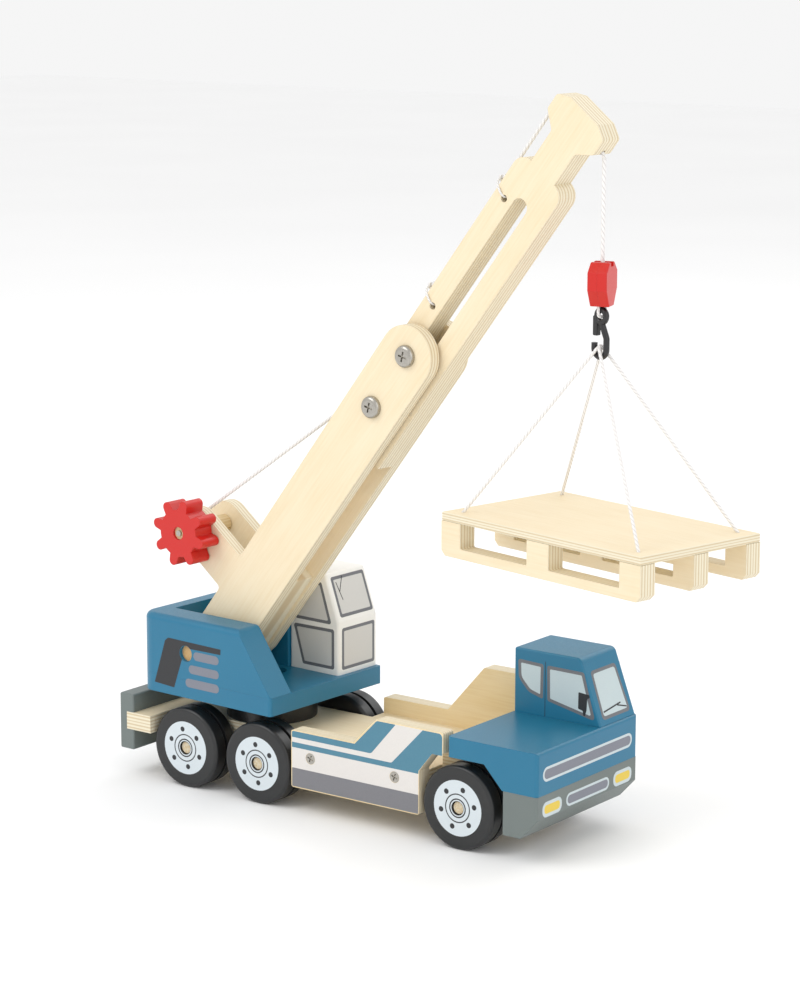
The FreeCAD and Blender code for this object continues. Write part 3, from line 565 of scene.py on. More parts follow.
@dataclass(frozen=True)
class MouldedPlastic:
    """Injection-moulded ABS: deep colour with a soft gloss and a faint flow texture."""

    name: str
    colour: str

    def build(self) -> bpy.types.Material:
        """Makes the material: a slow 2 mm swell in the gloss and height."""
        n = Node(self.name)
        where = n.local(ORIGIN)
        swell = n.noise(where, (2, 2, 2), 2.0)
        lighter = n.math("MULTIPLY", swell, 0.2)
        n.link(n.mix(lighter, linear(self.colour), linear("3A3A3C")), "Base Color")
        n.link(n.ramp(swell, -0.6, 2.6), "Roughness")
        n.constants(IOR=1.53)
        n.bump(swell, 0.03)
        return n.material


@dataclass(frozen=True)
class CottonCord:
    """White polished cotton cord: three plied strands, each with fine fuzz, and painted shade in the grooves
    between them.
    """

    name: str
    colour: str = "EEECEA"
    # The colour of the painted shade in the grooves between the strands.
    painted_groove_shade: str = "BDB9B6"

    def build(self) -> bpy.types.Material:
        """Makes the material.

        The strands come from the piece's own map: u runs along in turns of lay, and v around.
        """
        n = Node(self.name)
        uv = n.add("ShaderNodeSeparateXYZ", {0: n.add("ShaderNodeTexCoord").outputs["UV"]})
        along = n.math("MULTIPLY", uv.outputs[0], 2 * math.pi)
        around = n.math("MULTIPLY", uv.outputs[1], STRANDS * 2 * math.pi)
        groove = n.ramp(n.math("COSINE", n.math("ADD", along, around)), 0.4, 1.0)
        fuzz = n.noise(n.local(ORIGIN), (0.4, 0.4, 0.4), 3.0)
        # Painted shade: the grooves between the strands are darkened towards grey, standing in for the shade
        # that falls in them.
        painted_groove_shade = n.math("MULTIPLY", groove, 0.55)
        n.link(n.mix(painted_groove_shade, linear(self.colour), linear(self.painted_groove_shade)), "Base Color")
        n.constants(Roughness=0.85, IOR=1.5, Sheen_Weight=0.25, Sheen_Roughness=0.5)
        n.bump(n.math("SUBTRACT", n.math("MULTIPLY", fuzz, 0.6), groove), 0.12)
        return n.material


# ------------------------------------------------------------------ cord shapes
@dataclass(frozen=True)
class Rope:
    """A cord of three twisted strands along a path."""

    name: str
    radius: float
    lay: float = 3.4
    around: int = 18
    spacing: float = 0.45

    def resample(self, path: np.ndarray) -> np.ndarray:
        """Points of a path at even steps of its length."""
        along = run_lengths(path)
        count = max(FEWEST_RINGS, int(along[-1] / (self.spacing * MM)))
        even = np.linspace(0, along[-1], count)
        return np.stack([np.interp(even, along, path[:, k]) for k in range(3)], -1)

    def build(
        self, path: np.ndarray, side: np.ndarray, material: bpy.types.Material
    ) -> bpy.types.Object:
        """Sweeps the section along the path.

        The section's radius has three grooves, which turn once in each length of lay: the cord's
        radius times (0.93 plus 0.07 times the cosine of three times the angle plus the turn).
        Each ring stands square to the path, with its first direction kept square to side.

        Args:
            path: points of the row, in metres.
            side: a direction that the path never follows.
            material: the finish.

        Returns:
            The new piece.
        """
        line = self.resample(np.asarray(path, float))
        ahead = np.gradient(line, axis=0)
        ahead /= np.linalg.norm(ahead, axis=1, keepdims=True)
        first = np.cross(ahead, side)
        first /= np.linalg.norm(first, axis=1, keepdims=True)
        second = np.cross(ahead, first)
        rows, columns = len(line), self.around
        turns = run_lengths(line) / (self.lay * MM)
        angle = np.linspace(0, 2 * math.pi, columns, endpoint=False)[None, :]
        twist = 2 * math.pi * turns[:, None]
        radius = self.radius * MM * (CREST + GROOVE * np.cos(STRANDS * angle + twist))
        ring = first[:, None] * (np.cos(angle) * radius)[..., None]
        ring = ring + second[:, None] * (np.sin(angle) * radius)[..., None]
        points = (line[:, None] + ring).reshape(-1, 3)
        faces = [face[::-1] for face in grid_faces(rows, columns, False, True)]
        faces.append(list(range(columns - 1, -1, -1)))
        faces.append([(rows - 1) * columns + k for k in range(columns)])
        piece = mesh_piece(self.name, points, faces, smooth=True)
        self.outward(piece)
        self.unwrap(piece, turns, columns)
        piece.data.materials.append(material)
        return piece

    @staticmethod
    def outward(piece: bpy.types.Object) -> None:
        """Turns the surface over if it encloses a negative volume.

        The volume has the sign of the sum over faces of centre dot normal times area.
        """
        data = piece.data
        centres = np.empty(len(data.polygons) * 3)
        normals = np.empty(len(data.polygons) * 3)
        areas = np.empty(len(data.polygons))
        data.polygons.foreach_get("center", centres)
        data.polygons.foreach_get("normal", normals)
        data.polygons.foreach_get("area", areas)
        middle = centres.reshape(-1, 3).mean(0)
        volume = (((centres.reshape(-1, 3) - middle) * normals.reshape(-1, 3)).sum(1) * areas).sum()
        if volume < 0:
            data.flip_normals()

    @staticmethod
    def unwrap(piece: bpy.types.Object, turns: np.ndarray, columns: int) -> None:
        """Gives each corner its turns of lay along and its share of the way round."""
        data = piece.data
        layer = data.uv_layers.new(name="cord")
        corners = np.empty(len(data.loops), int)
        data.loops.foreach_get("vertex_index", corners)
        along = turns[corners // columns]
        around = (corners % columns) / columns
        owner = np.empty(len(data.polygons), int)
        totals = np.empty(len(data.polygons), int)
        data.polygons.foreach_get("loop_start", owner)
        data.polygons.foreach_get("loop_total", totals)
        face_of = np.repeat(np.arange(len(owner)), totals)
        high = np.zeros(len(owner))
        np.maximum.at(high, face_of, around)
        end_of_turn, start_of_turn = 0.8, 0.2
        wraps = (high[face_of] > end_of_turn) & (around < start_of_turn)
        layer.data.foreach_set("uv", np.stack([along, around + wraps], -1).ravel())


def nurbs_points(name: str, route: np.ndarray) -> np.ndarray:
    """The points of a smooth curve through a route.

    Args:
        name: the curve's name.
        route: control points of the row, in metres.

    Returns:
        Points along the curve, as the curve itself gives them.
    """
    curve = bpy.data.curves.new(name, "CURVE")
    curve.dimensions = "3D"
    curve.resolution_u = CURVE_STEPS
    spline = curve.splines.new("NURBS")
    spline.points.add(len(route) - 1)
    spline.points.foreach_set("co", np.hstack([route, np.ones((len(route), 1))]).ravel())
    spline.order_u = 3
    spline.use_endpoint_u = True
    holder = bpy.data.objects.new(name, curve)
    data = bpy.data.meshes.new_from_object(holder)
    points = np.empty(len(data.vertices) * 3)
    data.vertices.foreach_get("co", points)
    bpy.data.objects.remove(holder)
    bpy.data.meshes.remove(data)
    return points.reshape(-1, 3)


def run_lengths(path: np.ndarray) -> np.ndarray:
    """How far along a path each of its points is, in metres."""
    return np.concatenate([[0], np.cumsum(np.linalg.norm(np.diff(path, axis=0), axis=1))])


def tight_cord(node: str) -> None:
    """Hides the carried-over node that a tight cord replaces."""
    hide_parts(node)


# ------------------------------------------------------------------ the sub-assemblies
@dataclass
class Palette:
    """Every finish of the toy."""

    truck: Axes
    upper: Axes
    boom: Axes
    load: Axes
    made: dict[str, bpy.types.Material] = field(default_factory=dict)

    def build(self) -> None:
        """Makes every material once."""
        finishes = [
            Paint("enamel_blue", "186E90", "2C809E", self.truck),
            Paint("enamel_grey", "6B7472", "838C8A", self.truck, 0.45),
            Paint("enamel_white", "F1F0EC", "E2DDCF", self.upper, 0.42),
            Paint("enamel_red", "C81810", "D23226", self.boom, 0.34),
            Paint("enamel_black", "202122", "3A3B3C", self.truck, 0.33),
            Ink("ink_panel_white", "DEDAD6", "CFCBC5"),
            Ink("ink_panel_blue", "4A7F95", "5C8EA1"),
            Ink("ink_panel_grey", "77777C", "86868A"),
            Ink("ink_silver", "C3CFD3", "D6DEE0"),
            Ink("ink_slate", "7A7D88", "8A8D96"),
            Ink("ink_yellow", "E2C448", "EBD370"),
            Ink("ink_glass_blue", "BECDD1", "CDD9DB"),
            Ink("ink_glass_grey", "CFCECA", "DAD9D5"),
            Ink("ink_frame_grey", "6C6E73", "7A7C80"),
            Ink("ink_black", "27282B", "333437"),
            Ink("ink_rim", "CFD8DD", "DCE3E6"),
            Plated("plated_screw"),
            MouldedPlastic("moulded_black", "19191B"),
            CottonCord("cotton_cord"),
            BirchPly("ply_deck", self.truck, Grain.THICK_Z, 35.5, 11.0, 5),
            BirchPly("ply_right_panel", self.truck, Grain.THICK_Y, -46.0, 10.0, 5, "EAD5A8", "DFC48F"),
            BirchPly("ply_left_panel", self.truck, Grain.THICK_Y, 46.0, 10.0, 5, "EAD5A8", "DFC48F"),
            BirchPly("ply_right_rail", self.truck, Grain.THICK_Y, -23.4, 10.0, 5),
            BirchPly("ply_left_rail", self.truck, Grain.THICK_Y, 23.4, 10.0, 5),
            BirchPly("ply_support", self.truck, Grain.THICK_Z, 48.0, 14.0, 7),
            BirchPly("ply_boom_right", self.boom, Grain.THICK_Y, -13.7, 7.9, 3),
            BirchPly("ply_boom_left", self.boom, Grain.THICK_Y, 13.7, 7.9, 3),
            BirchPly("ply_inner_right", self.boom, Grain.THICK_Y, -3.95, 7.9, 3),
            BirchPly("ply_inner_left", self.boom, Grain.THICK_Y, 3.95, 7.9, 3),
            BirchPly("ply_spacer", self.boom, Grain.THICK_Y, 0.0, 19.5, 1, "EAD6AE", "DEC392"),
            BirchPly("ply_pallet_board", self.load, Grain.THICK_Z, 194.3, 5.0, 3),
            BirchPly("ply_pallet_right", self.load, Grain.THICK_Y, -41.0, 11.0, 5),
            BirchPly("ply_pallet_middle", self.load, Grain.THICK_Y, 0.0, 11.0, 5),
            BirchPly("ply_pallet_left", self.load, Grain.THICK_Y, 41.0, 11.0, 5),
            Dowel("dowel_axle", self.truck, "D9D3C0"),
            Dowel("dowel_boom", self.boom),
            Dowel("dowel_pivot", self.upper, "C99A5E"),
        ]
        for finish in finishes:
            self.made[finish.name] = finish.build()
            log.info("finish %s", finish.name)

    def dress(self, groups: dict[str, tuple[str, ...]]) -> None:
        """Gives carried-over pieces their materials.

        Args:
            groups: finish name to the names of the pieces that have it.
        """
        for finish, names in groups.items():
            for name in names:
                piece = frame["nodes"][name]
                if not piece.material_slots:
                    piece.data.materials.append(self.made[finish])
                for slot in piece.material_slots:
                    slot.material = self.made[finish]
                log.info("dressed %s in %s", name, finish)


@dataclass
class Chassis:
    """The truck under the crane: deck, bumpers, hood, cab and side panels."""

    axes: Axes
    palette: Palette
    front: float = 55.8
    panel_face: float = 51.0
    screws: tuple[float, float] = (-106.6, -44.6)
    screw_height: float = 35.5
    screw_hole: float = 3.5
    cab_side: float = 14.8

    def build(self) -> None:
        """Dresses the wood and lays the prints."""
        self.palette.dress(
            {
                "ply_deck": ("chassis_deck",),
                "enamel_grey": ("rear_bumper", "front_bumper"),
                "enamel_blue": ("hood_block", "driver_cab"),
                "ply_support": ("hood_support_block",),
                "enamel_black": ("turntable_disc",),
                "plated_screw": (
                    "slew_screw",
                    "right_panel_screw_rear",
                    "right_panel_screw_front",
                    "left_panel_screw_rear",
                    "left_panel_screw_front",
                ),
                "ply_right_panel": ("right_side_panel",),
                "ply_left_panel": ("left_side_panel",),
                "ply_right_rail": ("right_axle_rail",),
                "ply_left_rail": ("left_axle_rail",),
            }
        )
        self.front_print()
        self.panel_print("right", -1, 67.9, (-74.5, -57.8))
        self.panel_print("left", 1, 81.6, (-72.3, -45.5))
        self.cab_print()

    def front_print(self) -> None:
        """The grille, the lower vent and the two headlights."""
        made = self.palette.made
        face = Face(self.axes, (0, 1, 0), (0, 0, 1), (self.front, 0, 0))
        job = Print("front_print", face, "chassis", "panel_print")
        for label, y0, y1, z0, z1, inner, edge in (
            ("grille", -46.8, 46.8, 49.2, 57.8, "ink_slate", 1.5),
            ("vent", -22.6, 22.6, 29.1, 36.9, "ink_slate", 1.4),
            ("right_light", -47.0, -27.2, 28.4, 37.4, "ink_yellow", 2.0),
            ("left_light", 27.2, 47.0, 28.4, 37.4, "ink_yellow", 2.0),
        ):
            outer_round, inner_round = (4.0, 2.2) if "light" in label else (None, None)
            surround = slot_outline(y0, y1, z0, z1, outer_round)
            middle = slot_outline(y0 + edge, y1 - edge, z0 + edge, z1 - edge, inner_round)
            job.ink(f"{label}_surround", surround, made["ink_silver"])
            job.ink(label, middle, made[inner], 2)

    def panel_print(self, side: str, sign: int, top: float, rise: tuple[float, float]) -> None:
        """The bands and the slanting stripe of one side panel, on its outer face.

        Args:
            side: which panel.
            sign: -1 on the right, 1 on the left.
            top: height of the raised front.
            rise: where its sloping edge starts and ends.
        """
        made = self.palette.made
        face, turned = side_face(self.axes, sign, sign * self.panel_face)
        job = Print(f"{side}_panel_print", face, "chassis", "panel_print")
        rear, low, front, arch = -120.4, 16.5, -10.6, -27.4
        slope = (top - 51.2) / (rise[1] - rise[0])
        lean = (67.6 - 47.7) / (-43.3 + 62.4)
        white_left = -62.4 + (top - 0.8 - 47.7) / lean
        white_right = -46.1 + (top - 0.8 - 44.5) / lean
        body = [
            (rear, low), (arch, low), (arch, 42.3), (-17.8, 54.2), (front, 54.2),
            (front, top - 0.7), (rise[1] + 0.4, top - 0.7), (rise[0] + 0.4 + 0.5 / slope, 50.6),
            (rear, 50.6),
        ]
        foot = [(rear, low), (arch, low), (arch, 28.0), (rear, 28.0)]
        band = [
            (rear, 46.8), (-61.6, 46.8), (white_left, top - 0.75), (rise[1] + 0.4, top - 0.75),
            (rise[0] + 0.4 + 0.5 / slope, 50.55), (rear, 50.55),
        ]
        sweep = [
            (rear, 40.6), (arch, 40.6), (arch, 42.35), (-17.8, 54.25), (front - 0.05, 54.25),
            (front - 0.05, top - 0.75), (white_right, top - 0.75), (-46.8, 43.8), (rear, 43.8),
        ]
        ground = rounded(np.array(body), [1.2, 0.6, 0.6, 0.6, 0.6, 2.4, 2.4, 0.6, 1.2])
        screws = [(x, self.screw_height) for x in self.screws]
        bottom_edge = 6  # the points of the first corner's arc, which come before that edge
        ground = pierced(ground, bottom_edge, low, screws, self.screw_hole)
        job.ink("ground", ground * turned, made["ink_panel_white"])
        for name, shape, radii, finish in (
            ("foot", foot, 0.4, "ink_panel_grey"),
            ("band", band, [0.3, 3.0, 0.3, 2.4, 0.6, 1.2], "ink_panel_blue"),
            ("sweep", sweep, [0.3, 0.3, 0.3, 0.6, 0.6, 2.4, 0.3, 2.6, 0.3], "ink_panel_blue"),
        ):
            job.ink(name, rounded(np.array(shape) * turned, radii), made[finish], 2)

    def cab_print(self) -> None:
        """The driver's windows, door line and mirror on both sides, and the windscreen and wiper."""
        made = self.palette.made
        for label, sign, y in (("inner", -1, self.cab_side), ("outer", 1, 52.5)):
            face, turned = side_face(self.axes, sign, y)
            job = Print(f"cab_{label}_print", face, "chassis", "panel_print")
            quarter = [(-3.3, 99.4), (-2.8, 88.0), (4.2, 80.6), (14.3, 77.6), (14.6, 98.6)]
            door = [(17.0, 98.4), (17.4, 77.2), (50.6, 70.2), (42.4, 98.0)]
            for name, corners, frame_round, glass_round in (
                ("quarter_window", quarter, [1.5, 7, 7, 1, 1.5], [0.6, 6, 6, 0.4, 0.6]),
                ("door_window", door, 1.6, 0.8),
            ):
                shape = np.array(corners) * turned
                glass = inset(shape, FRAME_WIDTH)
                job.ink(f"{name}_frame", rounded(shape, frame_round), made["ink_frame_grey"])
                job.ink(name, rounded(glass, glass_round), made["ink_glass_blue"], 2)
            line = np.array([(15.6, 67.4), (16.0, 67.4), (16.0, 100.4), (15.6, 100.4)]) * turned
            mirror = np.array([
                (38.9, 85.9), (46.4, 85.2), (46.6, 83.4), (45.0, 82.8), (44.6, 76.0),
                (43.6, 72.2), (42.4, 72.4), (42.0, 75.2), (38.8, 76.0),
            ])
            job.ink("door_line", line, made["ink_black"])
            job.ink("mirror", rounded(mirror * turned, 0.5, 3), made["ink_black"], 3)
        lean = unit(np.array([39.8 - 54.4, 0, 106.0 - 67.2]))
        face = Face(self.axes, (0, 1, 0), tuple(lean), (54.4, 0, 67.2))
        job = Print("windscreen_print", face, "chassis", "panel_print")
        screen = np.array([(19.0, 3.2), (48.6, 3.2), (47.0, 32.5), (20.6, 32.5)])
        job.ink("frame", rounded(screen, 2.4), made["ink_frame_grey"])
        job.ink("glass", rounded(inset(screen, FRAME_WIDTH), 1.6), made["ink_glass_blue"], 2)
        for name, start, end, width in (
            ("wiper_arm", (46.0, 6.2), (37.0, 8.8), 0.8),
            ("wiper_blade", (22.0, 7.6), (41.0, 9.6), 0.9),
        ):
            job.ink(name, bar_outline(start, end, width), made["ink_black"], 3)


def bar_outline(
    start: tuple[float, float], end: tuple[float, float], width: float
) -> np.ndarray:
    """A straight bar between two points: each end moved half the width both ways, square to it."""
    one, two = np.array(start, float), np.array(end, float)
    ahead = unit(two - one)
    side = np.array([-ahead[1], ahead[0]]) * width / 2
    return np.array([one - side, two - side, two + side, one + side])


@dataclass
class Wheels:
    """The three axles with their six wheels."""

    axes: Axes
    palette: Palette
    face: float = 50.5
    centre: float = 25.0
    rim: float = 16.6
    bolts: int = 6
    bolt_circle: float = 11.8
    stations: tuple[tuple[str, float, float], ...] = (
        ("front", 0.0, 12.0),
        ("middle", -148.0, 35.0),
        ("rear", -204.5, 40.0),
    )

    def build(self) -> None:
        """Dresses the wheels and axles and prints the rims."""
        made = self.palette.made
        for place, x, turn in self.stations:
            self.palette.dress(
                {
                    "enamel_black": (f"{place}_right_wheel", f"{place}_left_wheel"),
                    "dowel_axle": (f"{place}_axle_dowel",),
                }
            )
            for side, sign in (("right", -1), ("left", 1)):
                corner = (x, sign * self.face, self.centre)
                face = Face(self.axes, (-sign, 0, 0), (0, 0, 1), corner)
                job = Print(f"{place}_{side}_rim", face, f"{place}_wheels", "tyre_black")
                job.ring("disc", (0, 0), (4.3, self.rim), made["ink_rim"])
                job.ring("hub_line", (0, 0), (8.0, 8.7), made["ink_black"], 2)
                job.ring("bore_line", (0, 0), (5.0, 5.8), made["ink_black"], 2)
                start = math.radians(turn)
                for bolt in range(self.bolts):
                    t = start + 2 * math.pi * bolt / self.bolts
                    centre = (self.bolt_circle * math.cos(t), self.bolt_circle * math.sin(t))
                    job.ring(f"bolt_{bolt + 1}", centre, (0.02, 1.6), made["ink_black"], 2)


@dataclass
class UpperWorks:
    """The slewing base with its walls and the operator's cab."""

    axes: Axes
    palette: Palette
    near_face: float = -52.0
    cab_side: float = 15.0
    cab_front: float = 41.0
    knee: float = 101.5

    def build(self) -> None:
        """Dresses the blocks and lays the prints."""
        self.palette.dress(
            {
                "enamel_blue": ("superstructure_base", "superstructure_housing"),
                "enamel_white": ("operator_cab",),
                "dowel_pivot": ("boom_pivot_dowel",),
            }
        )
        self.wall_print()
        self.cab_print()

    def wall_print(self) -> None:
        """The dark sign round the pivot hole and three louvres, on the near wall."""
        made = self.palette.made
        face = Face(self.axes, (1, 0, 0), (0, 0, 1), (0, self.near_face, 0))
        job = Print("wall_print", face, "upper_works", "panel_print")
        swing = np.radians(np.linspace(231, 44, 16))
        pivot, clear_radius = np.array([-24.0, 84.7]), 5.15
        hole = pivot + clear_radius * np.stack([np.cos(swing), np.sin(swing)], -1)
        foot = [(-50.4, 62.8), (-34.0, 61.9)]
        head = [(4.7, 88.6), (4.9, 92.0), (-38.6, 92.6), (-41.2, 90.6)]
        sign = np.vstack([foot, hole, head])
        job.ink("sign", sign, made["ink_black"])
        for number, (x0, z) in enumerate(((-17.6, 84.4), (-21.6, 75.6), (-24.4, 66.8))):
            louvre = slot_outline(x0, 3.2, z - 2.7, z + 2.7)
            job.ink(f"louvre_{number + 1}", louvre, made["ink_slate"])

    def cab_print(self) -> None:
        """The operator's windows: two on each side and two in front, with a wiper on the upper one."""
        made = self.palette.made
        lean = unit(np.array([30.6 - self.cab_front, 0, 130.6 - self.knee]))
        for label, sign, y in (("inner", -1, self.cab_side), ("outer", 1, 52.0)):
            face, turned = side_face(self.axes, sign, y)
            job = Print(f"crane_cab_{label}_print", face, "upper_works", "panel_print")
            lower = np.array([(4.6, 96.4), (12.2, 71.4), (37.6, 71.4), (37.6, 96.8)]) * turned
            upper = np.array([(6.4, 99.6), (35.6, 99.6), (27.4, 125.0), (6.4, 125.0)]) * turned
            self.window(job, "lower_window", lower)
            self.window(job, "upper_window", upper)
        face = Face(self.axes, (0, 1, 0), (0, 0, 1), (self.cab_front, 0, 0))
        front = Print("crane_cab_front_print", face, "upper_works", "panel_print")
        lower = np.array([(18.4, 71.0), (49.4, 71.0), (49.4, 97.4), (18.4, 97.4)])
        self.window(front, "lower_window", lower)
        slanted = Face(self.axes, (0, 1, 0), tuple(lean), (self.cab_front, 0, self.knee))
        screen = Print("crane_cab_screen_print", slanted, "upper_works", "panel_print")
        upper = np.array([(18.4, 2.6), (49.4, 2.6), (49.4, 28.2), (18.4, 28.2)])
        self.window(screen, "upper_window", upper)
        for name, start, end in (
            ("wiper_arm", (29.0, 27.6), (23.4, 18.0)),
            ("wiper_blade", (22.2, 24.6), (24.6, 13.0)),
        ):
            screen.ink(name, bar_outline(start, end, 0.6), made["ink_black"], 3)

    def window(self, job: Print, label: str, outline: np.ndarray) -> None:
        """One printed window: a grey frame with pale glass inside it."""
        made = self.palette.made
        job.ink(f"{label}_frame", rounded(outline, 1.5), made["ink_frame_grey"])
        job.ink(label, rounded(inset(outline, FRAME_WIDTH), 0.8), made["ink_glass_grey"], 2)


@dataclass
class Boom:
    """The luffing boom, the sliding boom and the winch."""

    axes: Axes
    palette: Palette
    drum: tuple[float, float, float] = (48.0, -5.55, 54.8)
    drum_radius: float = 5.5
    cord: float = 1.15
    reach: float = 9.05
    guide: tuple[float, float, float] = (198.2, 0.0, 18.4)
    loops: tuple[float, float, float] = (199.8, 281.0, 362.2)
    ply: float = 7.9
    tie_lift: float = 0.8

    def build(self) -> None:
        """Dresses the boards, screws and winch."""
        self.palette.dress(
            {
                "ply_boom_right": ("boom_plate_right",),
                "ply_boom_left": ("boom_plate_left",),
                "ply_spacer": ("boom_spacer_block",),
                "plated_screw": (
                    "lower_clamp_bolt",
                    "upper_clamp_bolt",
                    "lower_cap_nut",
                    "upper_cap_nut",
                    "crank_knob_screw",
                ),
                "ply_inner_right": ("inner_boom_right_layer",),
                "ply_inner_left": ("inner_boom_left_layer",),
                "dowel_boom": ("winch_drum",),
                "enamel_red": ("crank_knob",),
                "moulded_black": ("drum_end_cap",),
            }
        )

    def cords(self) -> None:
        """The hoist cord from its winding to its hanging length."""
        cotton = self.palette.made["cotton_cord"]
        drum, guide = np.array(self.drum), np.array(self.guide)
        toward = guide - drum
        distance = math.hypot(toward[0], toward[2])
        bearing = math.atan2(toward[2], toward[0]) + math.acos(self.reach / distance)
        start = drum + self.reach * np.array([math.cos(bearing), 0, math.sin(bearing)])
        side = np.array(self.axes.y)
        run = self.axes.place(np.array([start, (start + guide) / 2, guide]))
        piece = Rope("hoist_rope_run", self.cord).build(run, side, cotton)
        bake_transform(piece)
        tight_cord("hoist_cord_run")
        self.winding(drum, bearing, cotton)
        self.guided(cotton)

    def winding(self, drum: np.ndarray, bearing: float, cotton: bpy.types.Material) -> None:
        """The turns on the drum: a helix one cord's width a turn, whose last half turn climbs on top.

        The radius goes from the drum's plus the cord's to the reach of the leaving cord, as a
        smooth step over the last half turn.
        """
        t = np.linspace(0, 1, 260)
        turns, climb, climb_length, clearance = 3.35, 0.72, 0.24, 0.02
        angle = bearing - 2 * math.pi * turns * (1 - t)
        late = np.clip((t - climb) / climb_length, 0, 1)
        late = late * late * (3 - 2 * late)
        radius = (self.drum_radius + self.cord + clearance) * (1 - late) + self.reach * late
        across = np.interp(t, [0, climb, 1], [2.9, -2.6, 0.0])
        path = drum + np.stack([radius * np.cos(angle), across, radius * np.sin(angle)], -1)
        path = self.axes.place(path)
        piece = Rope("drum_winding_rope", self.cord).build(path, np.array(self.axes.y), cotton)
        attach(piece, "winch")
        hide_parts("cord_winding")
        log.info("winding of %.1f turns", turns)

    def guided(self, cotton: bpy.types.Material) -> None:
        """The cord along the sliding boom and out through its head, and its three tie knots."""
        exit_point = np.array([417.0, 0.0, -23.6])
        down = np.array([-math.sin(BOOM_REST), 0.0, -math.cos(BOOM_REST)])
        back = self.guide[2]
        route = [(x, 0.0, back) for x in (self.guide[0], 260.0, 330.0, 400.0, 415.5, 421.0)]
        route += [(420.4, 0.0, 11.0), (418.4, 0.0, -14.0)]
        route += [tuple(exit_point), tuple(exit_point + 2.0 * down)]
        path = nurbs_points("hoist_route", self.axes.place(np.array(route)))
        piece = Rope("hoist_rope_guided", self.cord).build(path, np.array(self.axes.y), cotton)
        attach(piece, "sliding_boom")
        tight_cord("hoist_cord_guided")
        for label, a in zip(("lower", "middle", "upper"), self.loops):
            self.tie(label, a, cotton)

    def tie(self, label: str, a: float, cotton: bpy.types.Material) -> None:
        """One tie: a thin cord through its hole, up both faces of the boom and knotted round the hoist cord.

        The knot is a trefoil: (sin t + 2 sin 2t, cos t - 2 cos 2t, -sin 3t), laid flat over the cord.
        """
        hole = np.array([a - 4.0, 0.0, 8.6])
        half = self.ply + self.tie_lift
        legs = [
            tuple(hole),
            (hole[0], -half, hole[2]),
            (a - 0.8, -half, 16.4),
            (a, -4.6, 20.0),
            (a, 0.0, 20.9),
            (a, 4.6, 20.0),
            (a - 0.8, half, 16.4),
            (hole[0], half, hole[2]),
            tuple(hole),
        ]
        path = nurbs_points(f"{label}_tie_route", self.axes.place(np.array(legs)))
        x, z = np.array(self.axes.x), np.array(self.axes.z)
        strand = Rope(f"{label}_tie_strand", 0.7, 2.2, 10, 0.4).build(path, x + 0.3 * z, cotton)
        t = np.linspace(0, 2 * math.pi, 90)
        across, up = np.sin(t) + 2 * np.sin(2 * t), np.cos(t) - 2 * np.cos(2 * t)
        trefoil = np.stack([across, up, -np.sin(3 * t)], -1) * np.array([0.75, 0.8, 0.8])
        path = self.axes.place(np.array([a, 0.0, 20.6]) + trefoil)
        bow = Rope(f"{label}_tie_knot", 0.75, 2.2, 10, 0.3).build(path, z + 0.2 * x, cotton)
        for piece in (strand, bow):
            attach(piece, "sliding_boom")
        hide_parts(f"{label}_cord_guide")
        log.info("tie %s", label)


@dataclass
class Load:
    """The hook block, the hook, its slings and the pallet."""

    axes: Axes
    palette: Palette
    heading: float = -12.5
    block_top: float = 338.8
    hang: float = 396.77
    cord: float = 1.15
    sling: float = 1.0
    bowl: float = 293.5
    peak_rise: float = 5.0
    foot_along: float = 68.5
    foot_aside: float = 38.5
    foot_height: float = 196.8
    foot_buried: float = 3.2
    bend_outer: float = 12.0
    bend_inner: float = 4.4
    bowl_shift: float = -0.6
    sling_step: float = 1.3 - 3.9

    def build(self) -> None:
        """Dresses the hook block, the hook and the pallet."""
        self.palette.dress(
            {
                "enamel_red": ("hook_block_front_half", "hook_block_rear_half"),
                "moulded_black": ("crane_hook",),
                "ply_pallet_board": ("pallet_board",),
                "ply_pallet_right": ("right_pallet_runner",),
                "ply_pallet_middle": ("middle_pallet_runner",),
                "ply_pallet_left": ("left_pallet_runner",),
            }
        )

    def cords(self) -> None:
        """The hanging cord, the hook's bight and the two slings."""
        cotton = self.palette.made["cotton_cord"]
        aside = np.array(self.axes.y)
        heights = (self.hang, (self.hang + self.block_top) / 2, self.block_top)
        drop = self.axes.place(np.array([(0, 0, z) for z in heights]))
        piece = Rope("hoist_rope_drop", self.cord).build(drop, aside, cotton)
        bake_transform(piece)
        tight_cord("hoist_cord_drop")
        legs, apart = (323.6, 315.0, 311.1), 2.7
        bight = [(0, -apart, z) for z in legs] + [(0, apart, z) for z in reversed(legs)]
        path = nurbs_points("bight_route", self.axes.place(np.array(bight, float)))
        piece = Rope("hook_bight", 0.9, 2.6).build(path, np.array(self.axes.x), cotton)
        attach(piece, "load")
        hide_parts("hook_cord")
        for label, end in (("front", 1), ("rear", -1)):
            self.sling_cord(label, end, cotton)

    def sling_cord(self, label: str, end: int, cotton: bpy.types.Material) -> None:
        """One sling from a corner of the pallet over the hook's bowl to the corner across from it.

        Args:
            label: which sling.
            end: 1 at the front of the pallet, -1 at its rear.
            cotton: the finish.
        """
        shift = self.bowl_shift + end * self.sling_step
        peak = np.array([shift, 0.0, self.bowl + self.peak_rise])
        corner = np.array([end * self.foot_along, self.foot_aside, self.foot_height])
        feet = [corner * (1, side, 1) for side in (-1, 1)]
        buried = [foot + unit(foot - peak) * self.foot_buried for foot in feet]
        near = [peak + unit(foot - peak) * self.bend_outer for foot in feet]
        inner = [peak + unit(foot - peak) * self.bend_inner for foot in feet]
        halfway = [(foot + bend) / 2 for foot, bend in zip(feet, near)]
        rising = [buried[0], halfway[0], near[0], inner[0]]
        route = [*rising, inner[1], near[1], halfway[1], buried[1]]
        path = nurbs_points(f"{label}_sling_route", self.axes.place(np.array(route)))
        rope = Rope(f"{label}_sling_rope", self.sling, 3.0, 14, 0.5)
        piece = rope.build(path, np.array(self.axes.x), cotton)
        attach(piece, "load")
        tight_cord(f"{label}_sling")


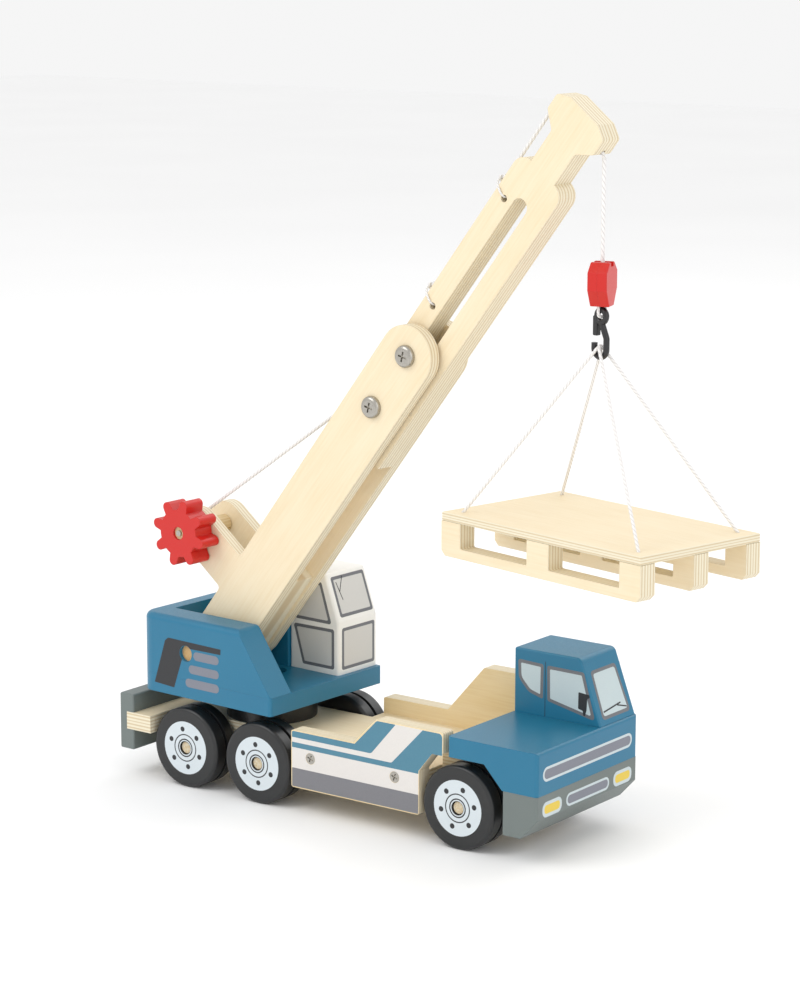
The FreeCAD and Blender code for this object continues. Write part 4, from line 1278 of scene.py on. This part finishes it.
@dataclass
class Studio:
    """The camera, the pale floor and the soft lights."""

    axes: Axes
    eye: tuple[float, float, float] = (912.6, -1343.1, 522.3)
    azimuth: float = 36.43
    elevation: float = 11.352
    roll: float = 0.146
    lens: float = 129.77

    def camera(self) -> None:
        """Sets up the camera.

        Its back is (sin a cos e, -cos a cos e, sin e) and its right (cos a, sin a, 0), then rolled.
        """
        a, e, r = (math.radians(value) for value in (self.azimuth, self.elevation, self.roll))
        back = np.array([math.sin(a) * math.cos(e), -math.cos(a) * math.cos(e), math.sin(e)])
        right = np.array([math.cos(a), math.sin(a), 0.0])
        up = np.cross(back, right)
        cosine, sine = math.cos(r), math.sin(r)
        right, up = right * cosine + up * sine, up * cosine - right * sine
        data = bpy.data.cameras.new("camera")
        data.sensor_fit = "HORIZONTAL"
        data.sensor_width = 36.0
        data.lens = self.lens
        data.clip_start = 0.01
        data.clip_end = 50.0
        thing = bpy.data.objects.new("camera", data)
        turn = Matrix((tuple(right), tuple(up), tuple(back))).transposed()
        eye = Vector(self.axes.place(np.array(self.eye)))
        thing.matrix_world = Matrix.Translation(eye) @ turn.to_4x4()
        bpy.context.scene.collection.objects.link(thing)
        bpy.context.scene.camera = thing

    def light(self, name: str, place: tuple, target: tuple, size: float, power: float) -> None:
        """One soft square light, aimed at a point."""
        data = bpy.data.lights.new(name, "AREA")
        data.size = size
        data.energy = power
        thing = bpy.data.objects.new(name, data)
        aim = (Vector(target) - Vector(place)).to_track_quat("-Z", "Y")
        thing.matrix_world = Matrix.Translation(Vector(place)) @ aim.to_matrix().to_4x4()
        bpy.context.scene.collection.objects.link(thing)

    def build(self) -> None:
        """Lays the floor and sets the lights."""
        reach = 6.0
        corners = reach * np.array([(-1, -1, 0), (1, -1, 0), (1, 1, 0), (-1, 1, 0)])
        floor = mesh_piece("floor", corners, [[0, 1, 2, 3]])
        n = Node("floor_paper")
        tone = n.noise(n.local(ORIGIN), (400, 400, 400), 1.0)
        n.link(n.mix(tone, linear("FFFFFF"), linear("FBFBFB")), "Base Color")
        n.constants(Roughness=0.9)
        floor.data.materials.append(n.material)
        world = bpy.data.worlds.new("studio")
        world.use_nodes = True
        sky = world.node_tree.nodes["Background"]
        sky.inputs[0].default_value = (1.0, 1.0, 1.0, 1.0)
        sky.inputs[1].default_value = 0.92
        bpy.context.scene.world = world
        bpy.context.scene.view_settings.view_transform = "Standard"
        self.light("key", (-0.9, -1.6, 1.9), (0.0, 0.0, 0.15), 1.4, 17.0)
        self.light("fill", (1.9, -0.9, 1.0), (0.0, 0.0, 0.15), 1.6, 7.0)
        self.light("back", (0.2, 1.8, 1.7), (0.0, 0.0, 0.2), 1.6, 10.0)


EXTENSION = joint("boom_extension")["axis"]
BOOM_REST = math.atan2(EXTENSION[2], math.hypot(*EXTENSION[:2]))


def main() -> None:
    """Builds the camera, the cords, then every sub-assembly in order."""
    logging.basicConfig(level=logging.INFO, format="%(message)s")
    axle = joint("front_axle_turn")["pos_m"]
    truck = Axes((axle[0], axle[1], 0.0))
    aside = -np.array(joint("luff")["axis"])
    ahead = np.cross(aside, [0.0, 0.0, 1.0])
    slew = joint("slew")["pos_m"]
    upper = level_axes(np.array([slew[0], slew[1], 0.0]), ahead)
    along = unit(np.array(joint("boom_extension")["axis"]))
    boom = Axes(tuple(joint("luff")["pos_m"]), tuple(along), tuple(aside), tuple(np.cross(along, aside)))
    hook = joint("hook_turn")["pos_m"]
    load = level_axes(np.array([hook[0], hook[1], 0.0]), pallet_forward())
    studio = Studio(truck)
    studio.camera()
    palette = Palette(truck, upper, boom, load)
    palette.build()
    booms, lifted = Boom(boom, palette), Load(load, palette)
    booms.cords()
    lifted.cords()
    Chassis(truck, palette).build()
    Wheels(truck, palette).build()
    UpperWorks(upper, palette).build()
    booms.build()
    lifted.build()
    studio.build()


if __name__ == "__main__":
    main()
